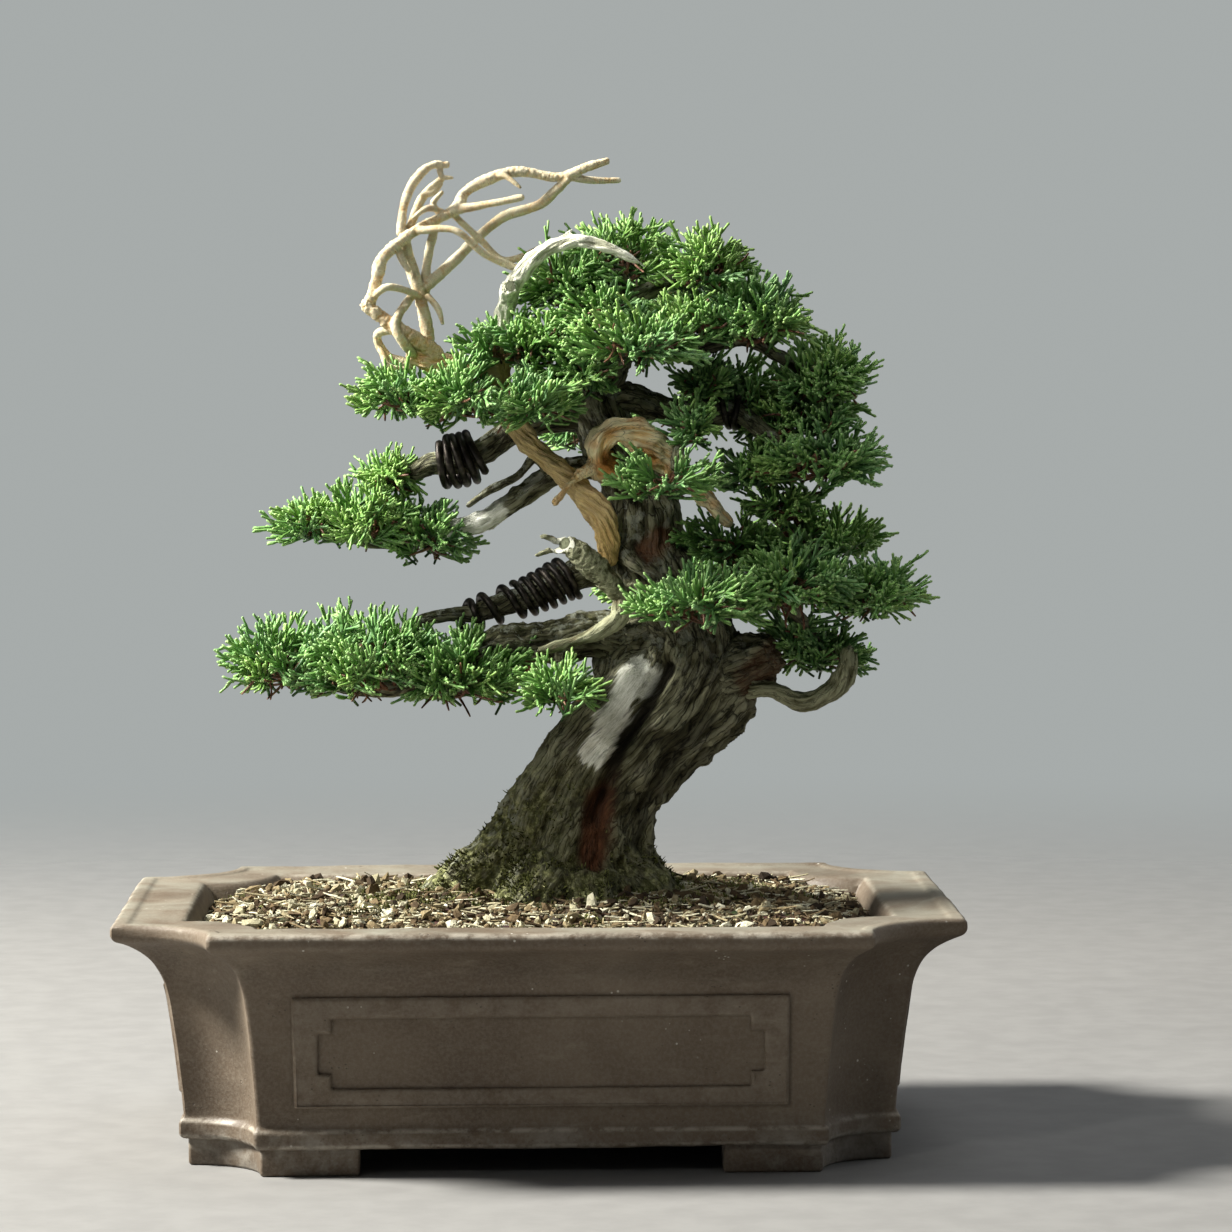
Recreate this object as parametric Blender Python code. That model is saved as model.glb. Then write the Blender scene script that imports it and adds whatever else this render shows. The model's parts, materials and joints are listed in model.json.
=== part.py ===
"""Juniper bonsai in a rectangular stoneware pot.

Millimetres are used for every size below and turned into metres by MM.
+X is to the viewer's right, +Y away from the viewer, +Z up.
The origin is at the centre of the pot's footprint, on the surface it stands on.
"""
import math

import bmesh
import bpy
import numpy as np
from mathutils import Matrix, Vector

MM = 0.001
GAP = 0.3                     # clearance between neighbouring pieces

# --- pot -------------------------------------------------------------------
POT_WIDTH = 280.0             # rim, along X
POT_DEPTH = 210.0             # rim, along Y
POT_HEIGHT = 81.7
NOTCH_RADIUS = 33.0           # concave quarter circle at each rim corner
NOTCH_TAPER = 0.35            # how fast that radius shrinks with the inset
NOTCH_STEPS = 6
FOOT_HEIGHT = 8.9
FOOT_INSET = 24.0
FOOT_THICKNESS = 14.0
FOOT_GAP_FRONT = 118.0        # opening between the feet, along X
FOOT_GAP_SIDE = 74.0          # opening between the feet, along Y
FLOOR_TOP = 17.0
DRAIN_HOLE_X = 65.0
DRAIN_HOLE_RADIUS = 9.0
WIRE_HOLE_X = 30.0
WIRE_HOLE_RADIUS = 2.2

# (inset from the rim outline, height), from the underside up and over the rim
POT_PROFILE = [
    (22.2, FOOT_HEIGHT), (21.0, 10.2), (21.0, 14.4), (22.6, 16.2),
    (22.0, 25.0), (20.8, 35.0), (19.5, 45.0), (18.0, 55.0), (16.4, 62.0),
    (13.6, 67.6), (9.4, 71.8), (4.8, 74.4), (1.2, 75.8),
    (0.0, 77.4), (0.0, 80.3), (1.4, POT_HEIGHT), (5.0, POT_HEIGHT), (6.6, 81.0),
    (22.8, 81.0), (24.6, 79.2), (27.0, 74.0), (30.0, 19.0), (32.0, FLOOR_TOP),
]

# raised picture-frame moulding on each side of the pot
PANEL_BOTTOM = 22.2
PANEL_TOP = 59.3
PANEL_MARGIN = 13.5           # from the moulding to the corner notch
PANEL_BORDER = 8.4
PANEL_STEP = (4.4, 5.0)       # stepped corner of the inner field
PANEL_RELIEF = 1.2

# --- filling ---------------------------------------------------------------
DRAINAGE_TOP = 24.0
SOIL_EDGE = 74.6
SOIL_CROWN = 84.0
SCREEN_SIZE = 26.0
SCREEN_THICKNESS = 1.2
SCREEN_OPENING = 6.0
SCREEN_PITCH = 8.0
CLIP_RADIUS = 0.6
TIE_RADIUS = 0.9

# --- tree: hand-set centre lines, each point (x, y, z, radius) --------------
TRUNK_STRANDS = {
    "stem": [
        (12, 0, 66, 27), (13, 0, 79, 25.5), (13, 0, 93, 21), (16, -1, 107, 18),
        (22, -2, 121, 17), (32, -2, 134, 16.5), (44, 0, 146, 17), (51, 2, 158, 17),
        (51, 4, 171, 15.5), (43, 5, 184, 14.5), (38, 6, 197, 13.5), (37, 6, 212, 12),
        (32, 5, 227, 10.5), (24, 4, 240, 9), (20, 4, 252, 8), (24, 3, 263, 7),
        (29, 2, 274, 5.8), (29, 3, 286, 4.2), (28, 5, 294, 2.6),
    ],
    "left_rib": [
        (-11, -6, 80, 9), (-6, -7, 96, 9), (-1, -8, 112, 8.5), (8, -8, 128, 8.5),
        (21, -8, 143, 8.5), (33, -5, 157, 8),
    ],
    "right_rib": [
        (34, -2, 82, 11), (30, -3, 98, 9), (33, -3, 114, 8), (43, -2, 126, 8.5),
        (56, 0, 139, 9), (67, 1, 150, 9),
    ],
    "shoulder": [(50, 2, 156, 14), (64, 0, 158, 11), (77, -1, 163, 8.5)],
    "knob": [(34, 2, 168, 9), (26, -3, 165, 7), (23, -5, 158, 4.5)],
    "apex_left": [(28, 2, 272, 4.5), (20, 1, 281, 3.2), (12, 0, 287, 2)],
    "apex_right": [(29, 3, 282, 3.6), (41, 3, 289, 2.8), (53, 4, 293, 1.8)],
    "apex_front": [(24, 3, 262, 5), (28, -10, 266, 3.6), (33, -24, 268, 2)],
    "apex_back": [(25, 4, 266, 5), (36, 20, 274, 3.6), (49, 40, 281, 2)],
    "peg_long": [(30, -4, 199, 3.5), (33, -11, 195, 2.1), (40, -14, 189.5, 1.6)],
    "peg_thin": [(37, -2, 198, 3), (39, -11, 194, 1.4), (47, -15, 188.5, 1.0)],
    "ledge": [(36, -2, 174, 4), (30, -12, 174, 1.8), (24, -13, 172.5, 1.5), (20, -12, 170, 1)],
}
ROOTS = {                     # name: (bearing in degrees, reach, radius at the trunk)
    "root_left": (186, 49, 12),
    "root_front_left": (232, 42, 11),
    "root_front": (284, 34, 10),
    "root_right": (348, 40, 12),
    "root_back_right": (42, 40, 11),
    "root_back": (104, 38, 11),
}
SPINE_STRANDS = {             # bare old leader: strip up the trunk and its grey top
    "strip": [
        (25, -5, 196, 3), (24, -7, 204, 4), (21, -8, 213, 4.6), (12, -8, 223, 4.6),
        (3, -8, 231, 4.2), (-5, -7, 240, 4), (-11, -5, 250, 4), (-12, -3, 262, 3.8),
        (-11, -3, 274, 3.6), (-9, -5, 285, 3.4), (-4, -9, 294, 3.2), (4, -13, 301, 2.8),
        (14, -16, 304, 2.6), (24, -19, 302, 2.2), (34, -21, 297, 1.2),
    ],
    "cut_stub": [(-9, -5, 285, 3), (-8.5, -12, 289, 2.8)],
}
CROWN_STRANDS = {             # tan deadwood spray at the upper left
    "base": [(-13, -4, 259, 3.4), (-24, -6, 262, 3.4), (-34, -6, 263, 3.2), (-41, -5, 266, 3)],
    "ramp": [(-33, -6, 263, 2.8), (-35, -7, 268, 2.5), (-45, -8, 274, 2.4), (-57, -7, 283, 2)],
    "outer": [
        (-56, -7, 282, 1.9), (-53, -6, 292, 1.9), (-51, -5, 299, 1.9), (-40, -3, 308, 1.8),
        (-27, 0, 315, 1.7), (-22, 2, 322, 1.6), (-7, 3, 328, 1.5), (8, 2, 326, 1.3),
        (17, 0, 329, 1.3), (25, -1, 331.4, 1.0),
    ],
    "end_twig": [(12, 1, 326, 1.1), (20, 3, 325, 1), (29, 5, 325, 0.7)],
    "stem": [
        (-37, -5, 264, 2.4), (-36, -3, 273, 2.1), (-39, -1, 287, 2), (-42, 0, 297, 1.9),
        (-44, -1, 305, 1.7),
    ],
    "loop_left": [
        (-45, -2, 307, 1.4), (-44, 0, 316, 1.3), (-41, 3, 324, 1.3), (-35, 4, 330, 1.2),
        (-29, 5, 330.5, 0.9),
    ],
    "loop_right": [(-42, 0, 309, 1.2), (-38, 6, 319, 1.2), (-31, 6, 326, 1)],
    "inner": [
        (-37, 0, 289, 1.7), (-27, 5, 298, 1.5), (-19, 7, 306, 1.5), (-10, 7, 313, 1.5),
        (2, 5, 317, 1.4), (12, 1, 326, 1.2),
    ],
    "inner_link": [(-33, -1, 311, 1.3), (-36, 2, 299, 1.3), (-37, 1, 287, 1.3)],
    "spur": [(-27, 0, 315, 1.3), (-14, -5, 317, 1.1), (-4, -7, 319, 0.9)],
    "front_twig": [
        (-41, -3, 308, 1.2), (-27, -9, 308, 1), (-17, -8, 300, 1), (-8, -5, 296, 1),
        (-4, -4, 294.5, 1),
    ],
    "back_twig": [
        (-28, 1, 314, 1), (-18, 4, 305, 0.9), (-10, 3, 298, 0.9), (2, 1, 302, 0.9),
        (8, -1, 304.5, 0.8),
    ],
    "lower_bow": [
        (-46, -8, 275, 1.4), (-53, -5, 273, 1.3), (-50, -4, 266, 1.3), (-42, -5, 262.5, 1.5),
    ],
    "lower_prop": [(-40, -1, 288, 1.2), (-47, -10, 277, 1.3), (-44, -11, 270, 1.3), (-40, -6, 265, 1.4)],
    "tie": [(-55, -7, 285, 0.9), (-49, -10, 289, 0.9), (-38, -3, 286, 0.9)],
}
CENTRE_JIN_STRANDS = {        # broken tan snag across the middle of the trunk
    "snag": [
        (25, -2, 226, 5), (21, -14, 232, 4.2), (24, -18, 239, 4.2), (31, -19, 240, 4.8),
        (40, -19, 235, 5), (48, -18, 227, 4.2), (56, -17, 219, 3.2), (65, -16, 209, 2.2),
    ],
    "fork": [(22, -14, 230, 3), (14, -14, 225, 2), (6, -13, 216, 1.3)],
    "fork_right": [(21, -14, 229, 2.2), (25, -19, 226, 1.8), (31, -20, 224, 1.2)],
}
LONG_JIN_STRANDS = {          # grey-green hooked deadwood at the lower left of the trunk
    "hook": [
        (33, -2, 186, 4), (29, -12, 183, 3), (28, -15, 178, 2.7), (23, -16, 174, 2.3),
        (15, -16, 170.5, 2), (7, -16, 168, 1.8), (1, -15, 166.5, 1.4),
    ],
    "arm": [(29, -12, 184, 3.2), (24, -13, 190, 4), (17, -13, 197, 4.4), (11, -13, 202, 3.2)],
    "finger": [(12, -13, 200, 1.6), (6, -14, 200.5, 1.2), (0, -14, 198.5, 0.8)],
    "plate": [(12, -13, 202.5, 1.6), (6, -12, 204, 1.3), (2, -12, 205, 0.8)],
}
RIGHT_JIN_STRANDS = {         # greenish snag that curls up at the lower right
    "snag": [
        (64, 0, 155, 4), (72, -4, 152.5, 3.2), (80, -5, 152, 3.1), (90, -5, 147.5, 3.1),
        (98, -5, 150, 3.4), (104, -5, 156, 3.6), (107, -5, 165, 2.6),
    ],
}
BRANCHES = {
    "branch_low_left": {
        "limb": [
            (44, 4, 172, 8), (30, 0, 169, 8), (18, -3, 171, 7.5), (6, -4, 169, 7.2),
            (-5, -5, 168, 6.8), (-14, -6, 168, 5.6), (-24, -7, 163, 4.2), (-35, -8, 158, 3.4),
            (-48, -9, 154, 2.8), (-64, -8, 154, 2.2), (-86, -5, 159, 1.6),
        ],
        "splinter": [(-1, -6, 166, 3), (-1.5, -12, 162, 2.6), (-2.5, -14, 155, 1.6)],
        "front_shoot": [(7, -4, 167, 3), (8, -14, 161, 2.2), (8, -24, 155, 1.4)],
    },
    "branch_low_left_wired": {
        "limb": [
            (40, 8, 189, 6.5), (24, 8, 192, 6), (13, 8, 190.5, 5.4), (5, 7, 187.2, 4.8),
            (-3, 6, 183.8, 4.2), (-13, 5, 180.6, 3.6), (-21, 4, 178, 3), (-28, 3, 178, 2.6), (-38, 3, 176, 2.4),
            (-48, 3, 170, 2), (-62, 3, 166, 1.6),
        ],
    },
    "branch_mid_left": {
        "limb": [
            (33, 6, 224, 5), (22, 6, 228, 4.6), (12, 5, 227, 4.2), (3, 5, 223, 3.8),
            (-9, 5, 215, 3.6), (-18, 6, 209.5, 3.3), (-27, 7, 207, 3), (-38, 8, 203.5, 2.6),
            (-53, 7, 202, 2.1), (-68, 5, 205, 1.5),
        ],
        "twig": [(6, 5, 225, 2), (0, 0, 231, 1.5), (-6, -2, 225, 1.3), (-16, -2, 220, 1.2), (-23, 0, 215, 1)],
    },
    "branch_coiled": {
        "limb": [
            (22, 5, 245, 5.5), (8, 7, 245, 5), (-6, 8, 241, 4.6), (-18, 8, 233, 4.4), (-27, 8, 230, 4.2),
            (-35, 9, 229, 3.8), (-42, 11, 226, 2.6), (-50, 14, 224, 1.6),
        ],
    },
    "branch_upper_left": {
        "limb": [
            (20, 4, 253, 5), (8, -3, 252, 4.4), (-4, -12, 250, 3.4), (-20, -17, 249, 2.8),
            (-34, -15, 250, 2.2), (-47, -12, 251, 1.6),
        ],
        "top_shoot": [(2, -7, 252, 2.6), (-3, -8, 260, 2), (-7, -7, 267, 1.4)],
    },
    "branch_low_right": {
        "limb": [
            (47, 3, 178, 7), (58, -1, 183, 5.6), (70, -7, 185, 4.4), (86, -13, 184, 3.4),
            (100, -10, 184, 2.6), (116, -6, 183, 1.8),
        ],
        "front_shoot": [(58, -1, 183, 3.4), (56, -16, 184, 2.6), (54, -32, 183, 1.6)],
        "upper_shoot": [(78, -10, 185, 2.6), (90, 2, 195, 2), (101, 11, 201, 1.4)],
        "lower_shoot": [(84, -12, 183, 2.4), (92, 2, 173, 1.8), (98, 9, 165, 1.4)],
    },
    "branch_mid_right": {
        "limb": [
            (22, 4, 250, 6), (34, 3, 251, 5), (47, 2, 246.5, 4.6), (60, 1, 246, 4.2),
            (69, 0, 246, 3.4), (78, -3, 239, 2.8), (88, -7, 232, 2.2), (99, -8, 230, 1.6),
        ],
        "front_shoot": [(47, 2, 246, 2.8), (49, -14, 240, 2.2), (46, -30, 228, 1.4)],
    },
    "branch_upper_right": {
        "limb": [
            (26, 3, 268, 4.6), (42, 5, 268, 4), (57, 4, 269, 3.4), (71, 0, 271, 2.6),
            (85, 1, 264, 2.2), (98, 2, 256, 1.6),
        ],
        "inner_shoot": [(50, 5, 268, 2.8), (61, 13, 260, 2.2), (71, 18, 252, 1.4)],
    },
    "branch_back_low": {
        "limb": [(50, 4, 166, 7), (51, 18, 171, 5.4), (49, 34, 179, 4.2), (46, 52, 184, 2.6)],
    },
    "branch_back_high": {
        "limb": [(37, 6, 214, 6), (33, 20, 222, 4.8), (27, 38, 233, 3.6), (22, 56, 239, 2.2)],
    },
}

# --- training wire: branch it follows, (start, end) along it, turns, radii --
WIRES = {
    # name: (branch, start, end, turns, coil clearance, wire radius, first angle)
    "wire_low_left": ("branch_low_left_wired", 0.20, 0.66, 6.0, 0.5, 1.25, 0.0),
    "wire_low_left_second": ("branch_low_left_wired", 0.24, 0.432, 2.5, 0.5, 1.25, 8.0),
    "wire_thick_coil": ("branch_coiled", 0.45, 0.65, 4.3, 2.6, 1.4, 40.0),
    "wire_mid_right": ("branch_mid_right", 0.42, 0.60, 2.4, 0.5, 1.1, 90.0),
}

# --- foliage pads: centre and half sizes ------------------------------------
PADS = {
    "foliage_low_left_tip": ((-86, -5, 161), (17, 21, 12)),
    "foliage_low_left_middle": ((-57, -11, 161), (23, 29, 15)),
    "foliage_low_left_inner": ((-25, -9, 157), (20, 25, 13)),
    "foliage_low_left_front": ((8, -29, 154), (12, 14, 7)),
    "foliage_mid_left_tip": ((-76, 4, 209), (12, 16, 7.5)),
    "foliage_mid_left_middle": ((-56, 6, 208), (16, 22, 11)),
    "foliage_mid_left_inner": ((-37, 8, 204), (13, 18, 9)),
    "foliage_mid_left_top": ((-50, 14, 224), (9, 14, 8)),
    "foliage_upper_left_tip": ((-44, -11, 252), (14, 19, 9.5)),
    "foliage_upper_left_middle": ((-22, -18, 251), (18, 22, 11)),
    "foliage_upper_left_inner": ((-1, -24, 249), (14, 17, 9.5)),
    "foliage_upper_left_top": ((-7, -7, 269), (15, 17, 7.5)),
    "foliage_apex_left": ((11, 8, 289), (14, 18, 12)),
    "foliage_apex": ((29, 9, 297), (16, 22, 12)),
    "foliage_apex_right": ((57, 4, 295), (13, 21, 10.5)),
    "foliage_apex_front": ((34, -26, 269), (18, 18, 11)),
    "foliage_upper_right_top": ((73, -3, 277), (17, 24, 12)),
    "foliage_upper_right_tip": ((97, 2, 256), (14, 22, 12.5)),
    "foliage_right_inner": ((72, 19, 249), (18, 21, 12)),
    "foliage_mid_right": ((96, -8, 229), (20, 24, 10)),
    "foliage_mid_right_front": ((43, -37, 224), (16, 14, 8)),
    "foliage_low_right_front": ((54, -37, 183), (19, 16, 9.5)),
    "foliage_low_right_middle": ((85, -16, 187), (20, 25, 13)),
    "foliage_low_right_tip": ((114, -6, 183), (15, 21, 10.5)),
    "foliage_low_right_upper": ((101, 13, 203), (16, 19, 7.5)),
    "foliage_low_right_under": ((98, 11, 163), (13, 17, 7)),
    "foliage_back_low": ((46, 57, 185), (22, 18, 10)),
    "foliage_back_high": ((22, 60, 240), (19, 17, 10)),
    "foliage_back_apex": ((52, 46, 284), (17, 18, 10)),
}
PAD_SEGMENTS = 11
PAD_RINGS = 7
PAD_BELLY = 0.7               # the underside is flatter than the top

# --- colours ----------------------------------------------------------------
STONEWARE = ((0.270, 0.235, 0.180), 0.72, 0.0)
SOIL = ((0.120, 0.090, 0.055), 0.95, 0.0)
PUMICE = ((0.42, 0.34, 0.24), 0.95, 0.0)
BARK = ((0.085, 0.070, 0.048), 0.90, 0.0)
DEADWOOD_GREY = ((0.42, 0.39, 0.30), 0.80, 0.0)
DEADWOOD_TAN = ((0.62, 0.42, 0.22), 0.75, 0.0)
FOLIAGE = ((0.055, 0.150, 0.035), 0.60, 0.0)
DARK_WIRE = ((0.045, 0.038, 0.035), 0.45, 0.8)
BARE_WIRE = ((0.55, 0.55, 0.55), 0.40, 1.0)
PLASTIC = ((0.02, 0.02, 0.02), 0.60, 0.0)


# --- scene ------------------------------------------------------------------
def clear_scene():
    for obj in list(bpy.data.objects):
        bpy.data.objects.remove(obj, do_unlink=True)


def make_collection(name):
    collection = bpy.data.collections.new(name)
    bpy.context.scene.collection.children.link(collection)
    return collection


def add_object(name, mesh):
    obj = bpy.data.objects.new(name, mesh)
    MODEL.objects.link(obj)
    return obj


def paint(obj, look):
    colour, roughness, metallic = look
    material = bpy.data.materials.new(obj.name)
    material.use_nodes = True
    shader = material.node_tree.nodes["Principled BSDF"]
    shader.inputs["Base Color"].default_value = (*colour, 1.0)
    shader.inputs["Roughness"].default_value = roughness
    shader.inputs["Metallic"].default_value = metallic
    material.diffuse_color = (*colour, 1.0)
    obj.data.materials.clear()
    obj.data.materials.append(material)


# --- mesh tools -------------------------------------------------------------
def evaluated_mesh(obj):
    depsgraph = bpy.context.evaluated_depsgraph_get()
    return bpy.data.meshes.new_from_object(obj.evaluated_get(depsgraph))


def keep_main_body(mesh):
    """Drop the crumbs that a cut leaves beside the main body."""
    bm = bmesh.new()
    bm.from_mesh(mesh)
    islands = []
    unseen = set(bm.faces)
    while unseen:
        stack = [unseen.pop()]
        island = list(stack)
        while stack:
            for edge in stack.pop().edges:
                for face in edge.link_faces:
                    if face in unseen:
                        unseen.remove(face)
                        island.append(face)
                        stack.append(face)
        islands.append(island)
    islands.sort(key=lambda faces: sum(face.calc_area() for face in faces))
    crumbs = [face for island in islands[:-1] for face in island]
    bmesh.ops.delete(bm, geom=crumbs, context="FACES")
    bm.to_mesh(mesh)
    bm.free()


def boolean(target, cutter, operation, solver="EXACT", one_body=True):
    """Apply one Boolean to the target and remove the cutter."""
    modifier = target.modifiers.new("boolean", "BOOLEAN")
    modifier.operation = operation
    modifier.solver = solver
    modifier.object = cutter
    result = evaluated_mesh(target)
    target.modifiers.clear()
    old = target.data
    target.data = result
    bpy.data.meshes.remove(old)
    bpy.data.objects.remove(cutter, do_unlink=True)
    if one_body:
        keep_main_body(target.data)


def join_all(name, pieces):
    """Fuse overlapping limbs into one. Exact leaves gaps where many of them meet."""
    body = pieces[0]
    for piece in pieces[1:]:
        boolean(body, piece, "UNION", "MANIFOLD")
    body.name = name
    return body


def bounds(obj):
    corners = np.array([obj.matrix_world @ vert.co for vert in obj.data.vertices])
    return corners.min(axis=0), corners.max(axis=0)


def box(name, low, high):
    """A box between two corners, in millimetres."""
    low, high = Vector(low) * MM, Vector(high) * MM
    mesh = bpy.data.meshes.new(name)
    bm = bmesh.new()
    bmesh.ops.create_cube(bm, size=1.0)
    bmesh.ops.scale(bm, verts=bm.verts, vec=high - low)
    bmesh.ops.translate(bm, verts=bm.verts, vec=(high + low) / 2)
    bm.to_mesh(mesh)
    bm.free()
    return add_object(name, mesh)


def cylinder(name, centre, radius, low, high, segments=24):
    mesh = bpy.data.meshes.new(name)
    bm = bmesh.new()
    bmesh.ops.create_cone(bm, cap_ends=True, segments=segments, radius1=radius * MM,
                          radius2=radius * MM, depth=(high - low) * MM)
    middle = Vector((centre[0], centre[1], (low + high) / 2)) * MM
    bmesh.ops.translate(bm, verts=bm.verts, vec=middle)
    bm.to_mesh(mesh)
    bm.free()
    return add_object(name, mesh)


def loft(name, loops):
    """A closed solid through equal-length loops, with flat ends."""
    bm = bmesh.new()
    rings = [[bm.verts.new(Vector(point) * MM) for point in loop] for loop in loops]
    for lower, upper in zip(rings, rings[1:]):
        for i in range(len(lower)):
            j = (i + 1) % len(lower)
            bm.faces.new((lower[i], lower[j], upper[j], upper[i]))
    bm.faces.new(list(reversed(rings[0])))
    bm.faces.new(rings[-1])
    mesh = bpy.data.meshes.new(name)
    bm.to_mesh(mesh)
    bm.free()
    return add_object(name, mesh)


# --- tubes ------------------------------------------------------------------
def smooth_path(points, steps):
    """A Catmull-Rom curve through the given points, any number of columns."""
    knots = np.array(points, dtype=float)
    before = 2 * knots[0] - knots[1]
    after = 2 * knots[-1] - knots[-2]
    knots = np.vstack([before, knots, after])
    path = []
    for a, b, c, d in zip(knots, knots[1:], knots[2:], knots[3:]):
        for step in range(steps):
            t = step / steps
            path.append(0.5 * (2 * b + (c - a) * t + (2 * a - 5 * b + 4 * c - d) * t ** 2
                               + (3 * b - a - 3 * c + d) * t ** 3))
    path.append(knots[-2])
    return np.array(path)


def tube(name, path, sides, grow=0.0):
    """A round rod along (x, y, z, radius) points; grow fattens it all over."""
    path = np.array(path, dtype=float)
    path[:, 3] += grow
    first = path[0, :3] - path[1, :3]
    last = path[-1, :3] - path[-2, :3]
    path[0, :3] += grow * first / np.linalg.norm(first)
    path[-1, :3] += grow * last / np.linalg.norm(last)
    curve = bpy.data.curves.new(name, "CURVE")
    curve.dimensions = "3D"
    curve.bevel_depth = MM
    curve.bevel_resolution = (sides - 4) // 2
    curve.use_fill_caps = True
    spline = curve.splines.new("POLY")
    spline.points.add(len(path) - 1)
    for point, (x, y, z, radius) in zip(spline.points, path):
        point.co = (x * MM, y * MM, z * MM, 1.0)
        point.radius = radius
    source = add_object(name, curve)
    mesh = evaluated_mesh(source)
    bpy.data.objects.remove(source, do_unlink=True)
    bpy.data.curves.remove(curve)
    bm = bmesh.new()
    bm.from_mesh(mesh)
    bmesh.ops.remove_doubles(bm, verts=bm.verts, dist=0.002 * MM)
    bmesh.ops.recalc_face_normals(bm, faces=bm.faces)
    bm.to_mesh(mesh)
    bm.free()
    mesh.materials.clear()
    return add_object(name, mesh)


def strands(name, group, sides, steps, grow=0.0):
    """Fuse a named group of limbs into one solid."""
    pieces = [tube(key, smooth_path(points, steps), sides, grow) for key, points in group.items()]
    return join_all(name, pieces)


# --- pot --------------------------------------------------------------------
def pot_outline(inset, height, notch=None):
    """Rectangle with concave quarter-circle corners, inset from the rim."""
    if notch is None:
        notch = max(NOTCH_RADIUS - NOTCH_TAPER * inset, 2.0)
    half_x = POT_WIDTH / 2 - inset
    half_y = POT_DEPTH / 2 - inset
    corners = [(1, -1, 180), (1, 1, 270), (-1, 1, 0), (-1, -1, 90)]
    outline = []
    for side_x, side_y, start in corners:
        for step in range(NOTCH_STEPS + 1):
            angle = math.radians(start - 90 * step / NOTCH_STEPS)
            x = side_x * half_x + notch * math.cos(angle)
            y = side_y * half_y + notch * math.sin(angle)
            outline.append((x, y, height))
    return outline


def panel_frame(name, width, turn):
    """Raised moulding with a stepped inner field, laid on one wall."""
    height = PANEL_TOP - PANEL_BOTTOM
    step_x, step_y = PANEL_STEP
    inner_x = width / 2 - PANEL_BORDER
    inner_y = height / 2 - PANEL_BORDER + 1.4
    outer = [(-width / 2, -height / 2), (width / 2, -height / 2),
             (width / 2, height / 2), (-width / 2, height / 2)]
    inner = []
    for side_x, side_y in [(1, -1), (1, 1), (-1, 1), (-1, -1)]:
        notch = [
            (side_x * (inner_x - step_x), side_y * inner_y),
            (side_x * (inner_x - step_x), side_y * (inner_y - step_y)),
            (side_x * inner_x, side_y * (inner_y - step_y)),
        ]
        inner += notch if side_x * side_y < 0 else notch[::-1]
    curve = bpy.data.curves.new(name, "CURVE")
    curve.dimensions = "2D"
    curve.fill_mode = "BOTH"
    curve.extrude = PANEL_RELIEF * MM
    for outline in (outer, inner):
        spline = curve.splines.new("POLY")
        spline.points.add(len(outline) - 1)
        for point, (x, y) in zip(spline.points, outline):
            point.co = (x * MM, y * MM, 0.0, 1.0)
        spline.use_cyclic_u = True
    source = add_object(name, curve)
    mesh = evaluated_mesh(source)
    bpy.data.objects.remove(source, do_unlink=True)
    bm = bmesh.new()
    bm.from_mesh(mesh)
    bmesh.ops.remove_doubles(bm, verts=bm.verts, dist=0.002 * MM)
    bmesh.ops.recalc_face_normals(bm, faces=bm.faces)
    bm.to_mesh(mesh)
    bm.free()
    mesh.materials.clear()
    frame = add_object(name, mesh)
    inset_low, inset_high = wall_inset(PANEL_BOTTOM), wall_inset(PANEL_TOP)
    lean = math.atan2(inset_low - inset_high, height)
    half = (POT_DEPTH if turn % 180 == 0 else POT_WIDTH) / 2
    middle = (PANEL_BOTTOM + PANEL_TOP) / 2
    out = half - wall_inset(middle)
    stand = Matrix.Rotation(math.pi / 2 + lean, 4, "X")
    place = Matrix.Translation(Vector((0, -out, middle)) * MM)
    mesh.transform(Matrix.Rotation(math.radians(turn), 4, "Z") @ place @ stand)
    return frame


def wall_inset(height):
    """Inset of the outer wall at a height, read from the profile."""
    wall = [point for point in POT_PROFILE if point[1] < 70 and point[0] < 22.7][3:]
    insets = [point[0] for point in wall]
    heights = [point[1] for point in wall]
    return float(np.interp(height, heights, insets))


def make_pot():
    shell = loft("pot_shell", [pot_outline(inset, z) for inset, z in POT_PROFILE])
    foot_notch = NOTCH_RADIUS - NOTCH_TAPER * FOOT_INSET
    top = FOOT_HEIGHT + 2.0
    feet = loft("feet", [pot_outline(FOOT_INSET, 0.0), pot_outline(FOOT_INSET - 0.3, top)])
    inside = FOOT_INSET + FOOT_THICKNESS
    hollow = loft("feet_hollow", [pot_outline(inside, -1.0, foot_notch),
                                  pot_outline(inside, top + 1, foot_notch)])
    boolean(feet, hollow, "DIFFERENCE")
    half_x, half_y = FOOT_GAP_FRONT / 2, FOOT_GAP_SIDE / 2
    front_gap = box("front_gap", (-half_x, -POT_DEPTH, -1), (half_x, POT_DEPTH, top + 1))
    side_gap = box("side_gap", (-POT_WIDTH, -half_y, -1), (POT_WIDTH, half_y, top + 1))
    boolean(feet, front_gap, "DIFFERENCE", one_body=False)
    boolean(feet, side_gap, "DIFFERENCE", one_body=False)
    boolean(shell, feet, "UNION")
    side_notch = 2 * (NOTCH_RADIUS - NOTCH_TAPER * 20)
    front_width = POT_WIDTH - 40 - side_notch - 2 * PANEL_MARGIN
    side_width = POT_DEPTH - 40 - side_notch - 2 * PANEL_MARGIN
    for turn in (0, 90, 180, 270):
        width = front_width if turn % 180 == 0 else side_width
        boolean(shell, panel_frame(f"panel_{turn}", width, turn), "UNION")
    for side in (-1, 1):
        drain = cylinder("drain", (side * DRAIN_HOLE_X, 0), DRAIN_HOLE_RADIUS, 0, 30)
        boolean(shell, drain, "DIFFERENCE")
        eye = cylinder("eye", (side * WIRE_HOLE_X, 0), WIRE_HOLE_RADIUS, 0, 30, 12)
        boolean(shell, eye, "DIFFERENCE")
    shell.name = "pot"
    paint(shell, STONEWARE)
    return shell


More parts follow.
